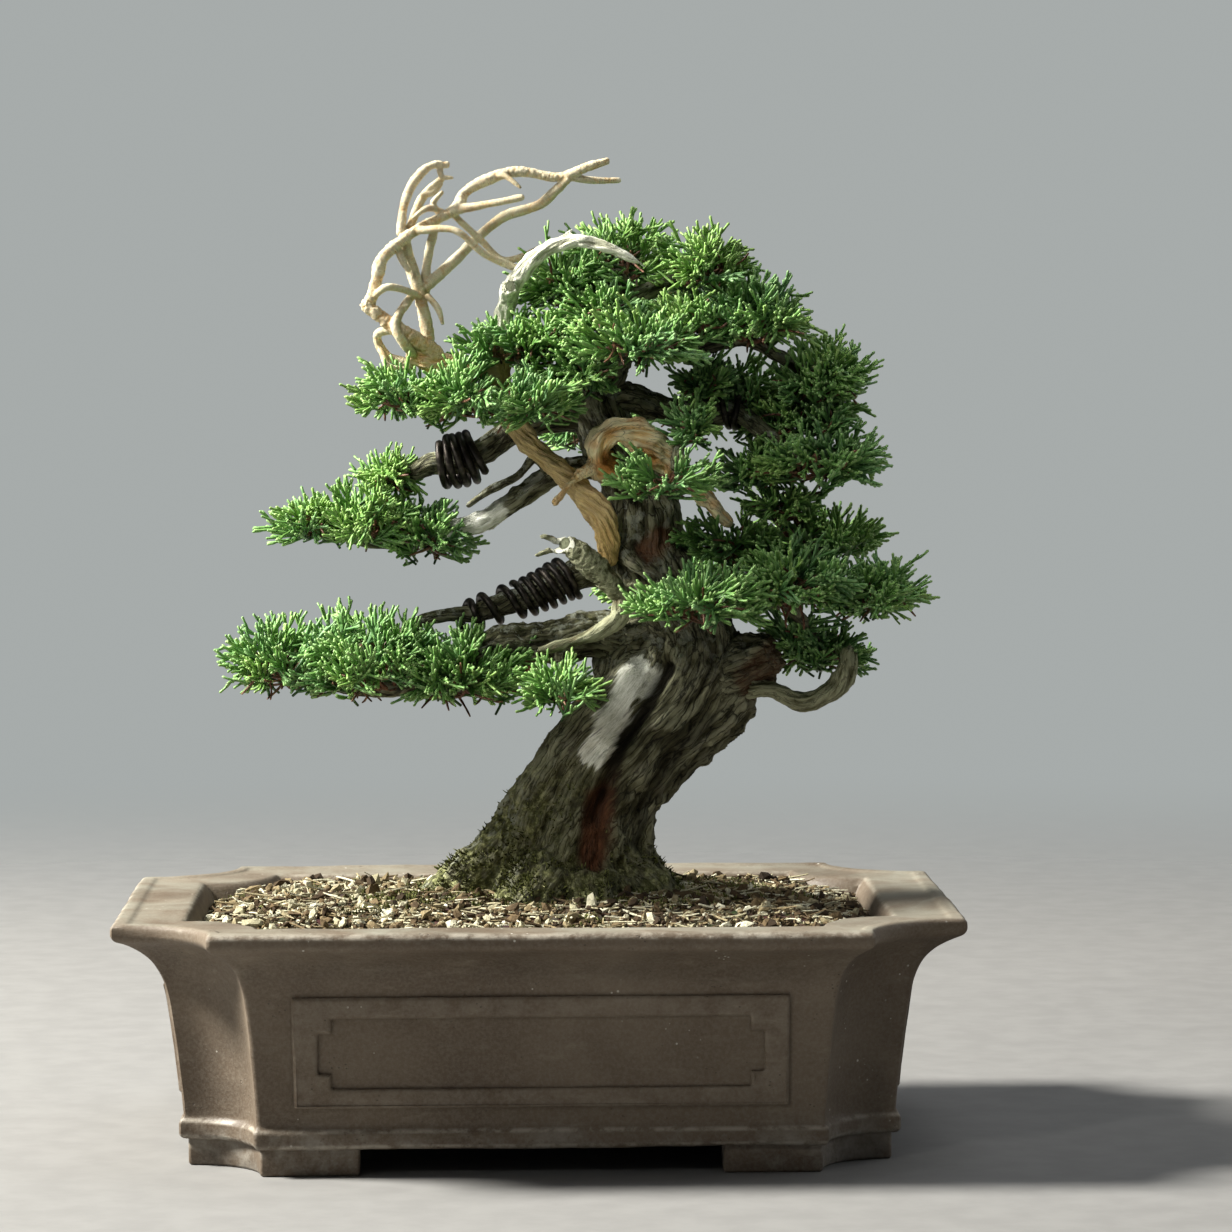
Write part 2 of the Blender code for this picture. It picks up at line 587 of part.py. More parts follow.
# --- filling ----------------------------------------------------------------
def inner_inset(height):
    """Inset of the pot's inner wall at a height."""
    return float(np.interp(height, [FLOOR_TOP, 19.0, 74.0, 79.2], [32.0, 30.0, 27.0, 24.6]))


def make_drainage():
    low = FLOOR_TOP + GAP
    levels = [low, 19.3, DRAINAGE_TOP]
    layer = loft("drainage_layer", [pot_outline(inner_inset(z) + 2 * GAP, z) for z in levels])
    reach = SCREEN_SIZE / 2 + 2 * GAP
    pocket_top = FLOOR_TOP + 2 * GAP + SCREEN_THICKNESS + 2 * CLIP_RADIUS + 2 * GAP
    for side in (-1, 1):
        x = side * DRAIN_HOLE_X
        pocket = box("pocket", (x - reach, -reach, 0), (x + reach, reach, pocket_top))
        boolean(layer, pocket, "DIFFERENCE")
    boolean(layer, make_tie(GAP), "DIFFERENCE")
    paint(layer, PUMICE)
    return layer


def make_soil():
    levels = [(inner_inset(z) + 2 * GAP, z) for z in (DRAINAGE_TOP + GAP, SOIL_EDGE)]
    crown = [(38.0, 77.4), (54.0, 80.6), (70.0, 82.8), (86.0, SOIL_CROWN)]
    soil = loft("soil", [pot_outline(inset, z) for inset, z in levels + crown])
    boolean(soil, make_tie(GAP), "DIFFERENCE")
    roots = strands("roots", trunk_strands(), 10, 1, GAP)
    boolean(soil, roots, "DIFFERENCE", "MANIFOLD")
    paint(soil, SOIL)
    return soil


def make_screen(name, x):
    half = SCREEN_SIZE / 2
    low = FLOOR_TOP + GAP
    screen = box(name, (x - half, -half, low), (x + half, half, low + SCREEN_THICKNESS))
    reach = SCREEN_OPENING / 2
    for column in (-1, 0, 1):
        for row in (-1, 0, 1):
            cx, cy = x + column * SCREEN_PITCH, row * SCREEN_PITCH
            hole = box("hole", (cx - reach, cy - reach, 0), (cx + reach, cy + reach, 30))
            boolean(screen, hole, "DIFFERENCE")
    paint(screen, PLASTIC)
    return screen


def make_clip(name, x):
    """Wire staple over a screen, its legs bent out under the pot."""
    low = FOOT_HEIGHT - GAP - CLIP_RADIUS
    high = FLOOR_TOP + 2 * GAP + SCREEN_THICKNESS + CLIP_RADIUS
    leg, toe = 7.4, 16.0
    corner = 1.2
    half = [(toe, low), (leg + corner, low), (leg, low + corner), (leg, high - corner),
            (leg - corner, high)]
    route = half + [(-a, z) for a, z in reversed(half)]
    clip = tube(name, [(x + a, 0, z, CLIP_RADIUS) for a, z in route], 6)
    paint(clip, BARE_WIRE)
    return clip


def make_tie(grow=0.0):
    """Hold-down wire: under the floor, up through both eyes, over the roots."""
    low = FOOT_HEIGHT - GAP - TIE_RADIUS
    eye = WIRE_HOLE_X
    side = [(26, 0, low), (eye - 1, 0, low + 0.2), (eye, 0, low + 2), (eye, 0, 22),
            (30, 3, 32), (31, 22, 48), (29, 38, 62), (22, 46, 70), (11, 49.5, 71), (1.6, 50, 71)]
    mirrored = [(-x, y, z) for x, y, z in side]
    route = list(reversed(mirrored)) + side
    path = smooth_path([(*point, TIE_RADIUS) for point in route], 2)
    wire = tube("tie_down_wire", path, 6, grow)
    paint(wire, BARE_WIRE)
    return wire


# --- tree -------------------------------------------------------------------
def trunk_strands():
    group = dict(TRUNK_STRANDS)
    for name, (bearing, reach, radius) in ROOTS.items():
        angle = math.radians(bearing)
        line = []
        for share, height, thickness in [(0.10, 97, 0.9), (0.45, 86, 1.0), (0.75, 76, 0.85),
                                         (1.0, 66, 0.55), (1.15, 54, 0.28)]:
            x = 13 + share * reach * math.cos(angle)
            y = share * reach * math.sin(angle)
            line.append((x, y, height, radius * thickness))
        group[name] = line
    return group


def helix(branch, start, end, turns, clearance, radius, first_angle):
    """Wire wound round a limb: points on a coil that follows its centre line."""
    limb = smooth_path(BRANCHES[branch]["limb"], 8)
    steps = int(turns * 10)
    shares = np.linspace(start, end, steps + 1) * (len(limb) - 1)
    index = np.arange(len(limb))
    centres = np.stack([np.interp(shares, index, limb[:, axis]) for axis in range(3)], axis=1)
    thickness = np.interp(shares, index, limb[:, 3])
    widest = np.maximum.accumulate(thickness[::-1])[::-1]
    tangents = np.gradient(centres, axis=0)
    tangents /= np.linalg.norm(tangents, axis=1)[:, None]
    side = np.cross(tangents, (0.0, 1.0, 0.0))
    side /= np.linalg.norm(side, axis=1)[:, None]
    other = np.cross(tangents, side)
    angles = math.radians(first_angle) + np.linspace(0, 2 * math.pi * turns, steps + 1)
    reach = (widest + radius + clearance)[:, None]
    coil = centres + reach * (np.cos(angles)[:, None] * side + np.sin(angles)[:, None] * other)
    return [(*point, radius) for point in coil]


def make_pad(name, centre, size, phase, grow=0.0):
    """Low dome of foliage with a flatter, slightly lumpy underside."""
    mesh = bpy.data.meshes.new(name)
    bm = bmesh.new()
    bmesh.ops.create_uvsphere(bm, u_segments=PAD_SEGMENTS, v_segments=PAD_RINGS, radius=1.0)
    for vert in bm.verts:
        bearing = math.atan2(vert.co.y, vert.co.x)
        lump = 1.0 + 0.06 * math.sin(3 * bearing + phase) * (1 - vert.co.z ** 2)
        scale = [(half + grow) * lump for half in size]
        if vert.co.z < 0:
            scale[2] *= PAD_BELLY
        vert.co = Vector([centre[i] + scale[i] * vert.co[i] for i in range(3)]) * MM
    bm.to_mesh(mesh)
    bm.free()
    return add_object(name, mesh)


class Builder:
    """Adds pieces in order; each gives way to the ones already there."""

    def __init__(self):
        self.makers = []

    def add(self, name, make, look, cut=True):
        piece = make(0.0)
        piece.name = name
        if cut:
            low, high = bounds(piece)
            for other_low, other_high, other_make in self.makers:
                apart = np.any(other_high + 2 * GAP * MM < low) or np.any(other_low - 2 * GAP * MM > high)
                if not apart:
                    boolean(piece, other_make(GAP), "DIFFERENCE", "MANIFOLD")
        paint(piece, look)
        low, high = bounds(piece)
        self.makers.append((low, high, make))
        return piece


def wire_maker(name, spec):
    return lambda grow: tube(name, helix(*spec), 6, grow)


def strand_maker(name, group, sides, steps):
    return lambda grow: strands(name, group, sides, steps, grow)


def pad_maker(name, centre, size, phase):
    return lambda grow: make_pad(name, centre, size, phase, grow)


def make_tree():
    builder = Builder()
    for name, spec in WIRES.items():
        builder.add(name, wire_maker(name, spec), DARK_WIRE, cut=False)
    deadwood = [
        ("trunk", trunk_strands(), 10, 1, BARK),
        ("deadwood_leader", SPINE_STRANDS, 8, 1, DEADWOOD_GREY),
        ("deadwood_crown", CROWN_STRANDS, 6, 1, DEADWOOD_TAN),
        ("deadwood_centre", CENTRE_JIN_STRANDS, 8, 1, DEADWOOD_TAN),
        ("deadwood_low_left", LONG_JIN_STRANDS, 8, 1, DEADWOOD_GREY),
        ("deadwood_low_right", RIGHT_JIN_STRANDS, 8, 2, DEADWOOD_GREY),
    ]
    for name, group, sides, steps, look in deadwood:
        builder.add(name, strand_maker(name, group, sides, steps), look)
    wired = {spec[0] for spec in WIRES.values()}
    for name, group in BRANCHES.items():
        steps = 2 if name in wired else 1
        builder.add(name, strand_maker(name, group, 6, steps), BARK)
    for phase, (name, (centre, size)) in enumerate(PADS.items()):
        builder.add(name, pad_maker(name, centre, size, phase), FOLIAGE)
    return builder


def main():
    clear_scene()
    make_pot()
    make_drainage()
    for label, side in (("left", -1), ("right", 1)):
        make_screen(f"drain_screen_{label}", side * DRAIN_HOLE_X)
        make_clip(f"screen_clip_{label}", side * DRAIN_HOLE_X)
    make_tie()
    make_tree()
    make_soil()


MODEL = make_collection("juniper_bonsai")
main()
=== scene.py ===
import json
import math

import bmesh
import bpy
import numpy as np
from mathutils import Matrix, Vector

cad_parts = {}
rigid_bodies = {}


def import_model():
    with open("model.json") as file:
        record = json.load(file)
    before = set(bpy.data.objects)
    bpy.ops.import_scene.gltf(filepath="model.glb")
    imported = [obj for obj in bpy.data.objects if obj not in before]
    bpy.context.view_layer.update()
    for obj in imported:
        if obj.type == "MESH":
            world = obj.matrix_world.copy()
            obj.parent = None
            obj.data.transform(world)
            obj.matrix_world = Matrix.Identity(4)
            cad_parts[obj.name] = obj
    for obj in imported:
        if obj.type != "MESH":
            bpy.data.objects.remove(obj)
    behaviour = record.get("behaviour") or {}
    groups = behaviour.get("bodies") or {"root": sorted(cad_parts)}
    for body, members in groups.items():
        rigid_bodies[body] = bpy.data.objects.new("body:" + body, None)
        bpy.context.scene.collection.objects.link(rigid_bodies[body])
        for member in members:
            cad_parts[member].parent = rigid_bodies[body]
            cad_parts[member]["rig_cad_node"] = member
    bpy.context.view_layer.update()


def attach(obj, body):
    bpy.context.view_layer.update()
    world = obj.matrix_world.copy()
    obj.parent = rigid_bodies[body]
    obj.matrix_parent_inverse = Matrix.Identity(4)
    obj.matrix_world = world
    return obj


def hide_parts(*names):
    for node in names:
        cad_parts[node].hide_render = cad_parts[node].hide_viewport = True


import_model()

MM = 0.001


# --- pot, the same outline and profile as the CAD ---------------------------
POT_WIDTH = 280.0
POT_DEPTH = 210.0
NOTCH_RADIUS = 33.0
NOTCH_TAPER = 0.35
NOTCH_STEPS = 14
CORNER_ROUND = 1.5            # softening where a notch meets a straight side
FOOT_HEIGHT = 8.9
FOOT_INSET = 24.0
FOOT_THICKNESS = 14.0
FOOT_GAP_FRONT = 118.0
FOOT_GAP_SIDE = 74.0
FOOT_SINK = 1.5               # how far a foot reaches up into the pot's floor
FOOT_BEVEL = 1.1
DRAIN_HOLE_X = 65.0
DRAIN_HOLE_RADIUS = 9.0
WIRE_HOLE_X = 30.0
WIRE_HOLE_RADIUS = 2.2
# (inset from the rim outline, height, rounding radius), underside to inside floor
POT_PROFILE = [
    (60.0, 8.9, 0.0), (22.2, 8.9, 1.0), (21.0, 10.2, 0.8), (21.0, 14.4, 0.9), (22.6, 16.4, 1.0),
    (22.2, 22.2, 0.0), (20.8, 35.0, 4.0), (19.5, 45.0, 4.0), (18.0, 55.0, 4.0),
    (16.4, 62.0, 3.0), (13.6, 67.6, 3.0), (9.4, 71.8, 3.0), (4.8, 74.4, 2.5),
    (1.2, 75.8, 0.9), (0.0, 77.4, 0.9), (0.0, 80.3, 1.0), (1.4, 81.7, 0.9),
    (5.0, 81.7, 1.0), (6.6, 81.0, 1.0), (22.8, 81.0, 1.2), (24.6, 79.2, 1.5),
    (27.0, 74.0, 2.0), (30.0, 19.0, 1.5), (32.0, 17.0, 1.0), (62.0, 17.0, 0.0),
]
PANEL_BOTTOM = 22.2
PANEL_TOP = 59.3
PANEL_MARGIN = 13.5
PANEL_BORDER = 8.4
PANEL_STEP = (4.4, 5.0)
PANEL_RELIEF = 1.75
PANEL_EDGE = 1.35             # rounding of the moulding's edges
PANEL_ROUND = 0.8             # rounding of its corners, seen from the front
PANEL_CUTS = 2.5              # spacing of the cuts that let it follow the wall

# --- tree: centre lines, each point (x, y, z, radius) ------------------------
TRUNK_STRANDS = {
    "stem": [
        (12, 0, 66, 27), (13, 0, 79, 25.5), (13, 0, 93, 21), (16, -1, 107, 18),
        (22, -2, 121, 17), (32, -2, 134, 16.5), (44, 0, 146, 17), (51, 2, 158, 17),
        (51, 4, 171, 15.5), (43, 5, 184, 14.5), (38, 6, 197, 13.5), (37, 6, 212, 12),
        (32, 5, 227, 10.5), (24, 4, 240, 9), (20, 4, 252, 8), (24, 3, 263, 7),
        (29, 2, 274, 5.8), (29, 3, 286, 4.2), (28, 5, 294, 2.6),
    ],
    "left_rib": [
        (-11, -6, 80, 9), (-6, -7, 96, 9), (-1, -8, 112, 8.5), (8, -8, 128, 8.5),
        (21, -8, 143, 8.5), (33, -5, 157, 8),
    ],
    "mossy_flank": [
        (3, -4, 115, 7.5), (-6, -4, 105.5, 9), (-15, -4, 95.5, 9.5), (-25, -4, 86, 9), (-37, -3, 78, 7.5),
    ],
    "right_rib": [
        (34, -2, 82, 11), (30, -3, 98, 9), (33, -3, 114, 8), (43, -2, 126, 8.5),
        (56, 0, 139, 9), (67, 1, 150, 9),
    ],
    "shoulder": [(50, 2, 156, 14), (64, 0, 158, 11), (77, -1, 163, 8.5)],
    "knob": [(34, 2, 168, 9), (26, -3, 165, 7), (23, -5, 158, 4.5)],
    "apex_left": [(28, 2, 272, 4.5), (20, 1, 281, 3.2), (12, 0, 287, 2)],
    "apex_right": [(29, 3, 282, 3.6), (41, 3, 289, 2.8), (53, 4, 293, 1.8)],
    "apex_front": [(24, 3, 262, 5), (28, -10, 266, 3.6), (33, -24, 268, 2)],
    "apex_back": [(25, 4, 266, 5), (36, 20, 274, 3.6), (49, 40, 281, 2)],
    "peg_long": [(30, -4, 199, 3.5), (33, -11, 195, 2.1), (40, -14, 189.5, 1.6)],
    "peg_thin": [(37, -2, 198, 3), (39, -11, 194, 1.4), (47, -15, 188.5, 1.0)],
    "ledge": [(36, -2, 174, 4), (30, -12, 174, 1.8), (24, -13, 172.5, 1.5), (20, -12, 170, 1)],
}
ROOTS = {                     # name: (bearing in degrees, reach, radius at the trunk)
    "root_left": (186, 49, 12),
    "root_front_left": (232, 42, 11),
    "root_front": (284, 34, 10),
    "root_right": (348, 40, 12),
    "root_back_right": (42, 40, 11),
    "root_back": (104, 38, 11),
}
# share of the reach, height, share of the radius
ROOT_SHAPE = [
    (0.10, 97, 0.9), (0.45, 86, 1.0), (0.75, 76, 0.85), (1.0, 66, 0.55), (1.15, 54, 0.28),
]
TRUNK_X = 13.0                # where the trunk stands, and its roots start
# marks on the trunk's front: an (x, z) line, and the distances where each starts and is full
SCARS = {
    "bare": ([(19, 131), (24, 141), (30, 151), (35, 159)], 7.4, 1.2),
    "furrow": ([(21, 112), (25, 126), (29.5, 137), (37, 149), (43, 160)], 4.6, 0.8),
    "cavity": ([(19, 98), (20, 106), (21, 116)], 6.8, 3.0),
    "broken": ([(74, 156), (79, 160), (84, 165)], 8.5, 5.0),
    "pit": ([(38, 200), (43, 204)], 6.0, 2.5),
    "second": ([(33, 100), (36, 115), (45, 130), (60, 143)], 2.6, 0.6),
}
TRUNK_VOXEL = 0.76
BRANCH_VOXEL = 0.61
SPINE_STRANDS = {
    "strip": [
        (25, -5, 196, 3), (24, -7, 204, 4), (21, -8, 213, 4.6), (12, -8, 223, 4.6),
        (3, -8, 231, 4.2), (-5, -7, 240, 4), (-11, -5, 250, 4), (-12, -3, 262, 3.8),
        (-11, -3, 274, 3.6), (-9, -5, 285, 3.4), (-4, -9, 294, 3.2), (4, -13, 301, 2.8),
        (14, -16, 304, 2.6), (24, -19, 302, 2.2), (34, -21, 297, 1.2),
    ],
    "cut_stub": [(-9, -5, 285, 3.4), (-8.5, -12, 289, 3.3)],
    "broken_top": [(2, -12, 300, 2.0), (9, -14, 305, 1.5), (13, -14, 308, 0.7)],
    "broken_end": [(22, -18, 302, 1.6), (30, -19, 300, 1.2), (37, -20, 295, 0.6)],
}
CROWN_STRANDS = {
    "base": [(-13, -4, 259, 3.4), (-24, -6, 262, 3.4), (-34, -6, 263, 3.2), (-41, -5, 266, 3)],
    "ramp": [(-33, -6, 263, 2.8), (-35, -7, 268, 2.5), (-45, -8, 274, 2.4), (-57, -7, 283, 2)],
    "outer": [
        (-56, -7, 282, 1.9), (-53, -6, 292, 1.9), (-51, -5, 299, 1.9), (-40, -3, 308, 1.8),
        (-27, 0, 315, 1.7), (-22, 2, 322, 1.6), (-7, 3, 328, 1.5), (8, 2, 326, 1.3),
        (17, 0, 329, 1.3), (25, -1, 331.4, 1.0),
    ],
    "end_twig": [(12, 1, 326, 1.1), (20, 3, 325, 1), (29, 5, 325, 0.7)],
    "stem": [
        (-37, -5, 264, 2.4), (-36, -3, 273, 2.1), (-39, -1, 287, 2), (-42, 0, 297, 1.9),
        (-44, -1, 305, 1.7),
    ],
    "loop_left": [
        (-45, -2, 307, 1.4), (-44, 0, 316, 1.3), (-41, 3, 324, 1.3), (-35, 4, 330, 1.2),
        (-29, 5, 330.5, 0.9),
    ],
    "loop_right": [(-42, 0, 309, 1.2), (-38, 6, 319, 1.2), (-31, 6, 326, 1)],
    "inner": [
        (-37, 0, 289, 1.7), (-27, 5, 298, 1.5), (-19, 7, 306, 1.5), (-10, 7, 313, 1.5),
        (2, 5, 317, 1.4), (12, 1, 326, 1.2),
    ],
    "inner_link": [(-33, -1, 311, 1.3), (-36, 2, 299, 1.3), (-37, 1, 287, 1.3)],
    "spur": [(-27, 0, 315, 1.3), (-14, -5, 317, 1.1), (-4, -7, 319, 0.9)],
    "front_twig": [
        (-41, -3, 308, 1.2), (-27, -9, 308, 1), (-17, -8, 300, 1), (-8, -5, 296, 1),
        (-4, -4, 294.5, 1),
    ],
    "back_twig": [
        (-28, 1, 314, 1), (-18, 4, 305, 0.9), (-10, 3, 298, 0.9), (2, 1, 302, 0.9),
        (8, -1, 304.5, 0.8),
    ],
    "lower_bow": [
        (-46, -8, 275, 1.4), (-53, -5, 273, 1.3), (-50, -4, 266, 1.3), (-42, -5, 262.5, 1.5),
    ],
    "lower_prop": [(-40, -1, 288, 1.2), (-47, -10, 277, 1.3), (-44, -11, 270, 1.3), (-40, -6, 265, 1.4)],
    "tie": [(-55, -7, 285, 0.9), (-49, -10, 289, 0.9), (-38, -3, 286, 0.9)],
    # short broken ends that the CAD leaves out
    "peg_top": [(-31, 1, 313, 1.0), (-34, -1, 317, 0.9), (-31, -2, 321, 0.5)],
    "peg_loop": [(-32, 5, 330, 0.9), (-31, 4, 326.5, 0.8), (-27.5, 3, 326, 0.4)],
    "peg_loop_inner": [(-38, 5, 320, 0.8), (-34, 5, 321, 0.7), (-31, 3, 324, 0.4)],
    "peg_hook": [(-46, -3, 302, 1.1), (-44.5, -4, 298, 0.9), (-42.5, -5, 294.5, 0.5)],
    "peg_low": [(-36, -3, 286, 1.0), (-32.5, -6, 281.5, 0.9), (-31, -8, 276.5, 0.5)],
    "peg_bow": [(-52, -5, 268, 0.9), (-49.5, -9, 262.5, 0.8), (-44, -9, 261.5, 0.5)],
    "peg_fork": [(-14, 3, 325.5, 0.9), (-10, 1, 326.5, 0.8), (-4.5, -1, 322.5, 0.4)],
    "peg_ridge": [(-31, 0, 314.5, 0.9), (-36, -3, 315.5, 0.8), (-41, -4, 312, 0.4)],
    "peg_stem": [(-37, -4, 270, 1.1), (-42, -7, 271.5, 1.0), (-46, -8, 277, 0.8), (-43, -7, 283, 0.5)],
}
CENTRE_JIN_STRANDS = {
    "snag": [
        (25, -2, 226, 5), (21, -14, 232, 4.2), (24, -18, 239, 4.2), (31, -19, 240, 4.8),
        (40, -19, 235, 5), (48, -18, 227, 4.2), (56, -17, 219, 3.2), (65, -16, 209, 2.2),
    ],
    "fork": [(22, -14, 230, 3), (14, -14, 225, 2), (6, -13, 216, 1.3)],
    "fork_right": [(21, -14, 229, 2.2), (25, -19, 226, 1.8), (31, -20, 224, 1.2)],
}
LONG_JIN_STRANDS = {
    "hook": [
        (33, -2, 186, 4), (29, -12, 183, 3), (28, -15, 178, 2.7), (23, -16, 174, 2.3),
        (15, -16, 170.5, 2), (7, -16, 168, 1.8), (1, -15, 166.5, 1.4),
    ],
    "arm": [(29, -12, 184, 3.2), (24, -13, 190, 4), (17, -13, 197, 4.4), (11, -13, 202, 3.2)],
    "finger": [(12, -13, 200, 1.6), (6, -14, 200.5, 1.2), (0, -14, 198.5, 0.8)],
    "plate": [(12, -13, 202.5, 1.6), (6, -12, 204, 1.3), (2, -12, 205, 0.8)],
}
RIGHT_JIN_STRANDS = {
    "snag": [
        (64, 0, 155, 4), (72, -4, 152.5, 3.2), (80, -5, 152, 3.1), (90, -5, 147.5, 3.1),
        (98, -5, 150, 3.4), (104, -5, 156, 3.6), (107, -5, 165, 2.6),
    ],
}
BRANCHES = {
    "branch_low_left": {
        "limb": [
            (44, 4, 172, 8), (30, 0, 169, 8), (18, -3, 171, 7.5), (6, -4, 169, 7.2),
            (-5, -5, 168, 6.8), (-14, -6, 168, 5.6), (-24, -7, 163, 4.2), (-35, -8, 158, 3.4),
            (-48, -9, 154, 2.8), (-64, -8, 154, 2.2), (-86, -5, 159, 1.6),
        ],
        "splinter": [(-1, -6, 166, 3), (-1.5, -12, 162, 2.6), (-2.5, -14, 155, 1.6)],
        "front_shoot": [(7, -4, 167, 3), (8, -14, 161, 2.2), (8, -24, 155, 1.4)],
    },
    "branch_low_left_wired": {
        "limb": [
            (40, 8, 189, 6.5), (24, 8, 192, 6), (13, 8, 190.5, 5.4), (5, 7, 187.2, 4.8),
            (-3, 6, 183.8, 4.2), (-13, 5, 180.6, 3.6), (-21, 4, 178, 3), (-28, 3, 178, 2.6),
            (-38, 3, 176, 2.4), (-48, 3, 170, 2), (-62, 3, 166, 1.6),
        ],
    },
    "branch_mid_left": {
        "limb": [
            (33, 6, 224, 5), (22, 6, 228, 4.6), (12, 5, 227, 4.2), (3, 5, 223, 3.8),
            (-9, 5, 215, 3.6), (-18, 6, 209.5, 3.3), (-27, 7, 207, 3), (-38, 8, 203.5, 2.6),
            (-53, 7, 202, 2.1), (-68, 5, 205, 1.5),
        ],
        "twig": [
            (6, 5, 225, 2), (0, 0, 231, 1.5), (-6, -2, 225, 1.3), (-16, -2, 220, 1.2), (-23, 0, 215, 1),
        ],
    },
    "branch_coiled": {
        "limb": [
            (22, 5, 245, 5.5), (8, 7, 245, 5), (-6, 8, 241, 4.6), (-18, 8, 233, 4.4), (-27, 8, 230, 4.2),
            (-35, 9, 229, 3.8), (-42, 11, 226, 2.6), (-50, 14, 224, 1.6),
        ],
    },
    "branch_upper_left": {
        "limb": [
            (20, 4, 253, 5), (8, -3, 252, 4.4), (-4, -12, 250, 3.4), (-20, -17, 249, 2.8),
            (-34, -15, 250, 2.2), (-47, -12, 251, 1.6),
        ],
        "top_shoot": [(2, -7, 252, 2.6), (-3, -8, 260, 2), (-7, -7, 267, 1.4)],
    },
    "branch_low_right": {
        "limb": [
            (47, 3, 178, 7), (58, -1, 183, 5.6), (70, -7, 185, 4.4), (86, -13, 184, 3.4),
            (100, -10, 184, 2.6), (116, -6, 183, 1.8),
        ],
        "front_shoot": [(58, -1, 183, 3.4), (56, -16, 184, 2.6), (54, -32, 183, 1.6)],
        "upper_shoot": [(78, -10, 185, 2.6), (90, 2, 195, 2), (101, 11, 201, 1.4)],
        "lower_shoot": [(84, -12, 183, 2.4), (92, 2, 173, 1.8), (98, 9, 165, 1.4)],
    },
    "branch_mid_right": {
        "limb": [
            (22, 4, 250, 6), (34, 3, 251, 5), (47, 2, 246.5, 4.6), (60, 1, 246, 4.2),
            (69, 0, 246, 3.4), (78, -3, 239, 2.8), (88, -7, 232, 2.2), (99, -8, 230, 1.6),
        ],
        "front_shoot": [(47, 2, 246, 2.8), (49, -14, 240, 2.2), (46, -30, 228, 1.4)],
    },
    "branch_upper_right": {
        "limb": [
            (26, 3, 268, 4.6), (42, 5, 268, 4), (57, 4, 269, 3.4), (71, 0, 271, 2.6),
            (85, 1, 264, 2.2), (98, 2, 256, 1.6),
        ],
        "inner_shoot": [(50, 5, 268, 2.8), (61, 13, 260, 2.2), (71, 18, 252, 1.4)],
    },
    "branch_back_low": {
        "limb": [(50, 4, 166, 7), (51, 18, 171, 5.4), (49, 34, 179, 4.2), (46, 52, 184, 2.6)],
    },
    "branch_back_high": {
        "limb": [(37, 6, 214, 6), (33, 20, 222, 4.8), (27, 38, 233, 3.6), (22, 56, 239, 2.2)],
    },
}
WIRES = {
    # name: (branch, start, end, turns, coil clearance, wire radius, first angle)
    "wire_low_left": ("branch_low_left_wired", 0.20, 0.66, 6.0, 0.5, 1.25, 0.0),
    "wire_low_left_second": ("branch_low_left_wired", 0.24, 0.432, 2.5, 0.5, 1.25, 8.0),
    "wire_thick_coil": ("branch_coiled", 0.45, 0.65, 4.3, 2.6, 1.4, 40.0),
    "wire_mid_right": ("branch_mid_right", 0.42, 0.60, 2.4, 0.5, 1.1, 90.0),
}
# pad: centre, half sizes, and the point its twigs leave the branch from
PADS = {
    "foliage_low_left_tip": ((-86, -5, 161), (17, 21, 12), (-70, -7, 155)),
    "foliage_low_left_middle": ((-57, -11, 161), (23, 29, 15), (-48, -9, 153)),
    "foliage_low_left_inner": ((-25, -9, 157), (20, 25, 13), (-24, -7, 160)),
    "foliage_low_left_front": ((8, -29, 154), (12, 14, 7), (8, -20, 157)),
    "foliage_mid_left_tip": ((-76, 4, 209), (12, 16, 7.5), (-68, 5, 205)),
    "foliage_mid_left_middle": ((-56, 6, 208), (16, 22, 11), (-53, 7, 202)),
    "foliage_mid_left_inner": ((-37, 8, 204), (13, 18, 9), (-38, 8, 202)),
    "foliage_mid_left_top": ((-50, 14, 224), (9, 14, 8), (-47, 13, 222)),
    "foliage_upper_left_tip": ((-44, -11, 252), (14, 19, 9.5), (-36, -14, 250)),
    "foliage_upper_left_middle": ((-22, -18, 251), (18, 22, 11), (-20, -16, 248)),
    "foliage_upper_left_inner": ((-1, -24, 249), (14, 17, 9.5), (-2, -14, 248)),
    "foliage_upper_left_top": ((-7, -7, 269), (15, 17, 7.5), (-5, -7, 264)),
    "foliage_apex_left": ((11, 8, 289), (14, 18, 12), (13, 1, 283)),
    "foliage_apex": ((29, 9, 297), (16, 22, 12), (29, 4, 289)),
    "foliage_apex_right": ((57, 4, 295), (13, 21, 10.5), (51, 4, 290)),
    "foliage_apex_front": ((34, -26, 269), (18, 18, 11), (32, -18, 266)),
    "foliage_upper_right_top": ((73, -3, 277), (17, 24, 12), (71, 0, 270)),
    "foliage_upper_right_tip": ((97, 2, 256), (14, 22, 12.5), (90, 2, 258)),
    "foliage_right_inner": ((72, 19, 249), (18, 21, 12), (69, 16, 249)),
    "foliage_mid_right": ((96, -8, 229), (20, 24, 10), (88, -7, 229)),
    "foliage_mid_right_front": ((43, -37, 224), (16, 14, 8), (46, -27, 226)),
    "foliage_low_right_front": ((54, -37, 183), (19, 16, 9.5), (55, -26, 182)),
    "foliage_low_right_middle": ((85, -16, 187), (20, 25, 13), (84, -12, 182)),
    "foliage_low_right_tip": ((114, -6, 183), (15, 21, 10.5), (107, -8, 182)),
    "foliage_low_right_upper": ((101, 13, 203), (16, 19, 7.5), (98, 9, 200)),
    "foliage_low_right_under": ((98, 11, 163), (13, 17, 7), (96, 8, 165)),
    "foliage_back_low": ((46, 57, 185), (22, 18, 10), (46, 48, 183)),
    "foliage_back_high": ((22, 60, 240), (19, 17, 10), (23, 51, 238)),
    "foliage_back_apex": ((52, 46, 284), (17, 18, 10), (48, 39, 281)),
}

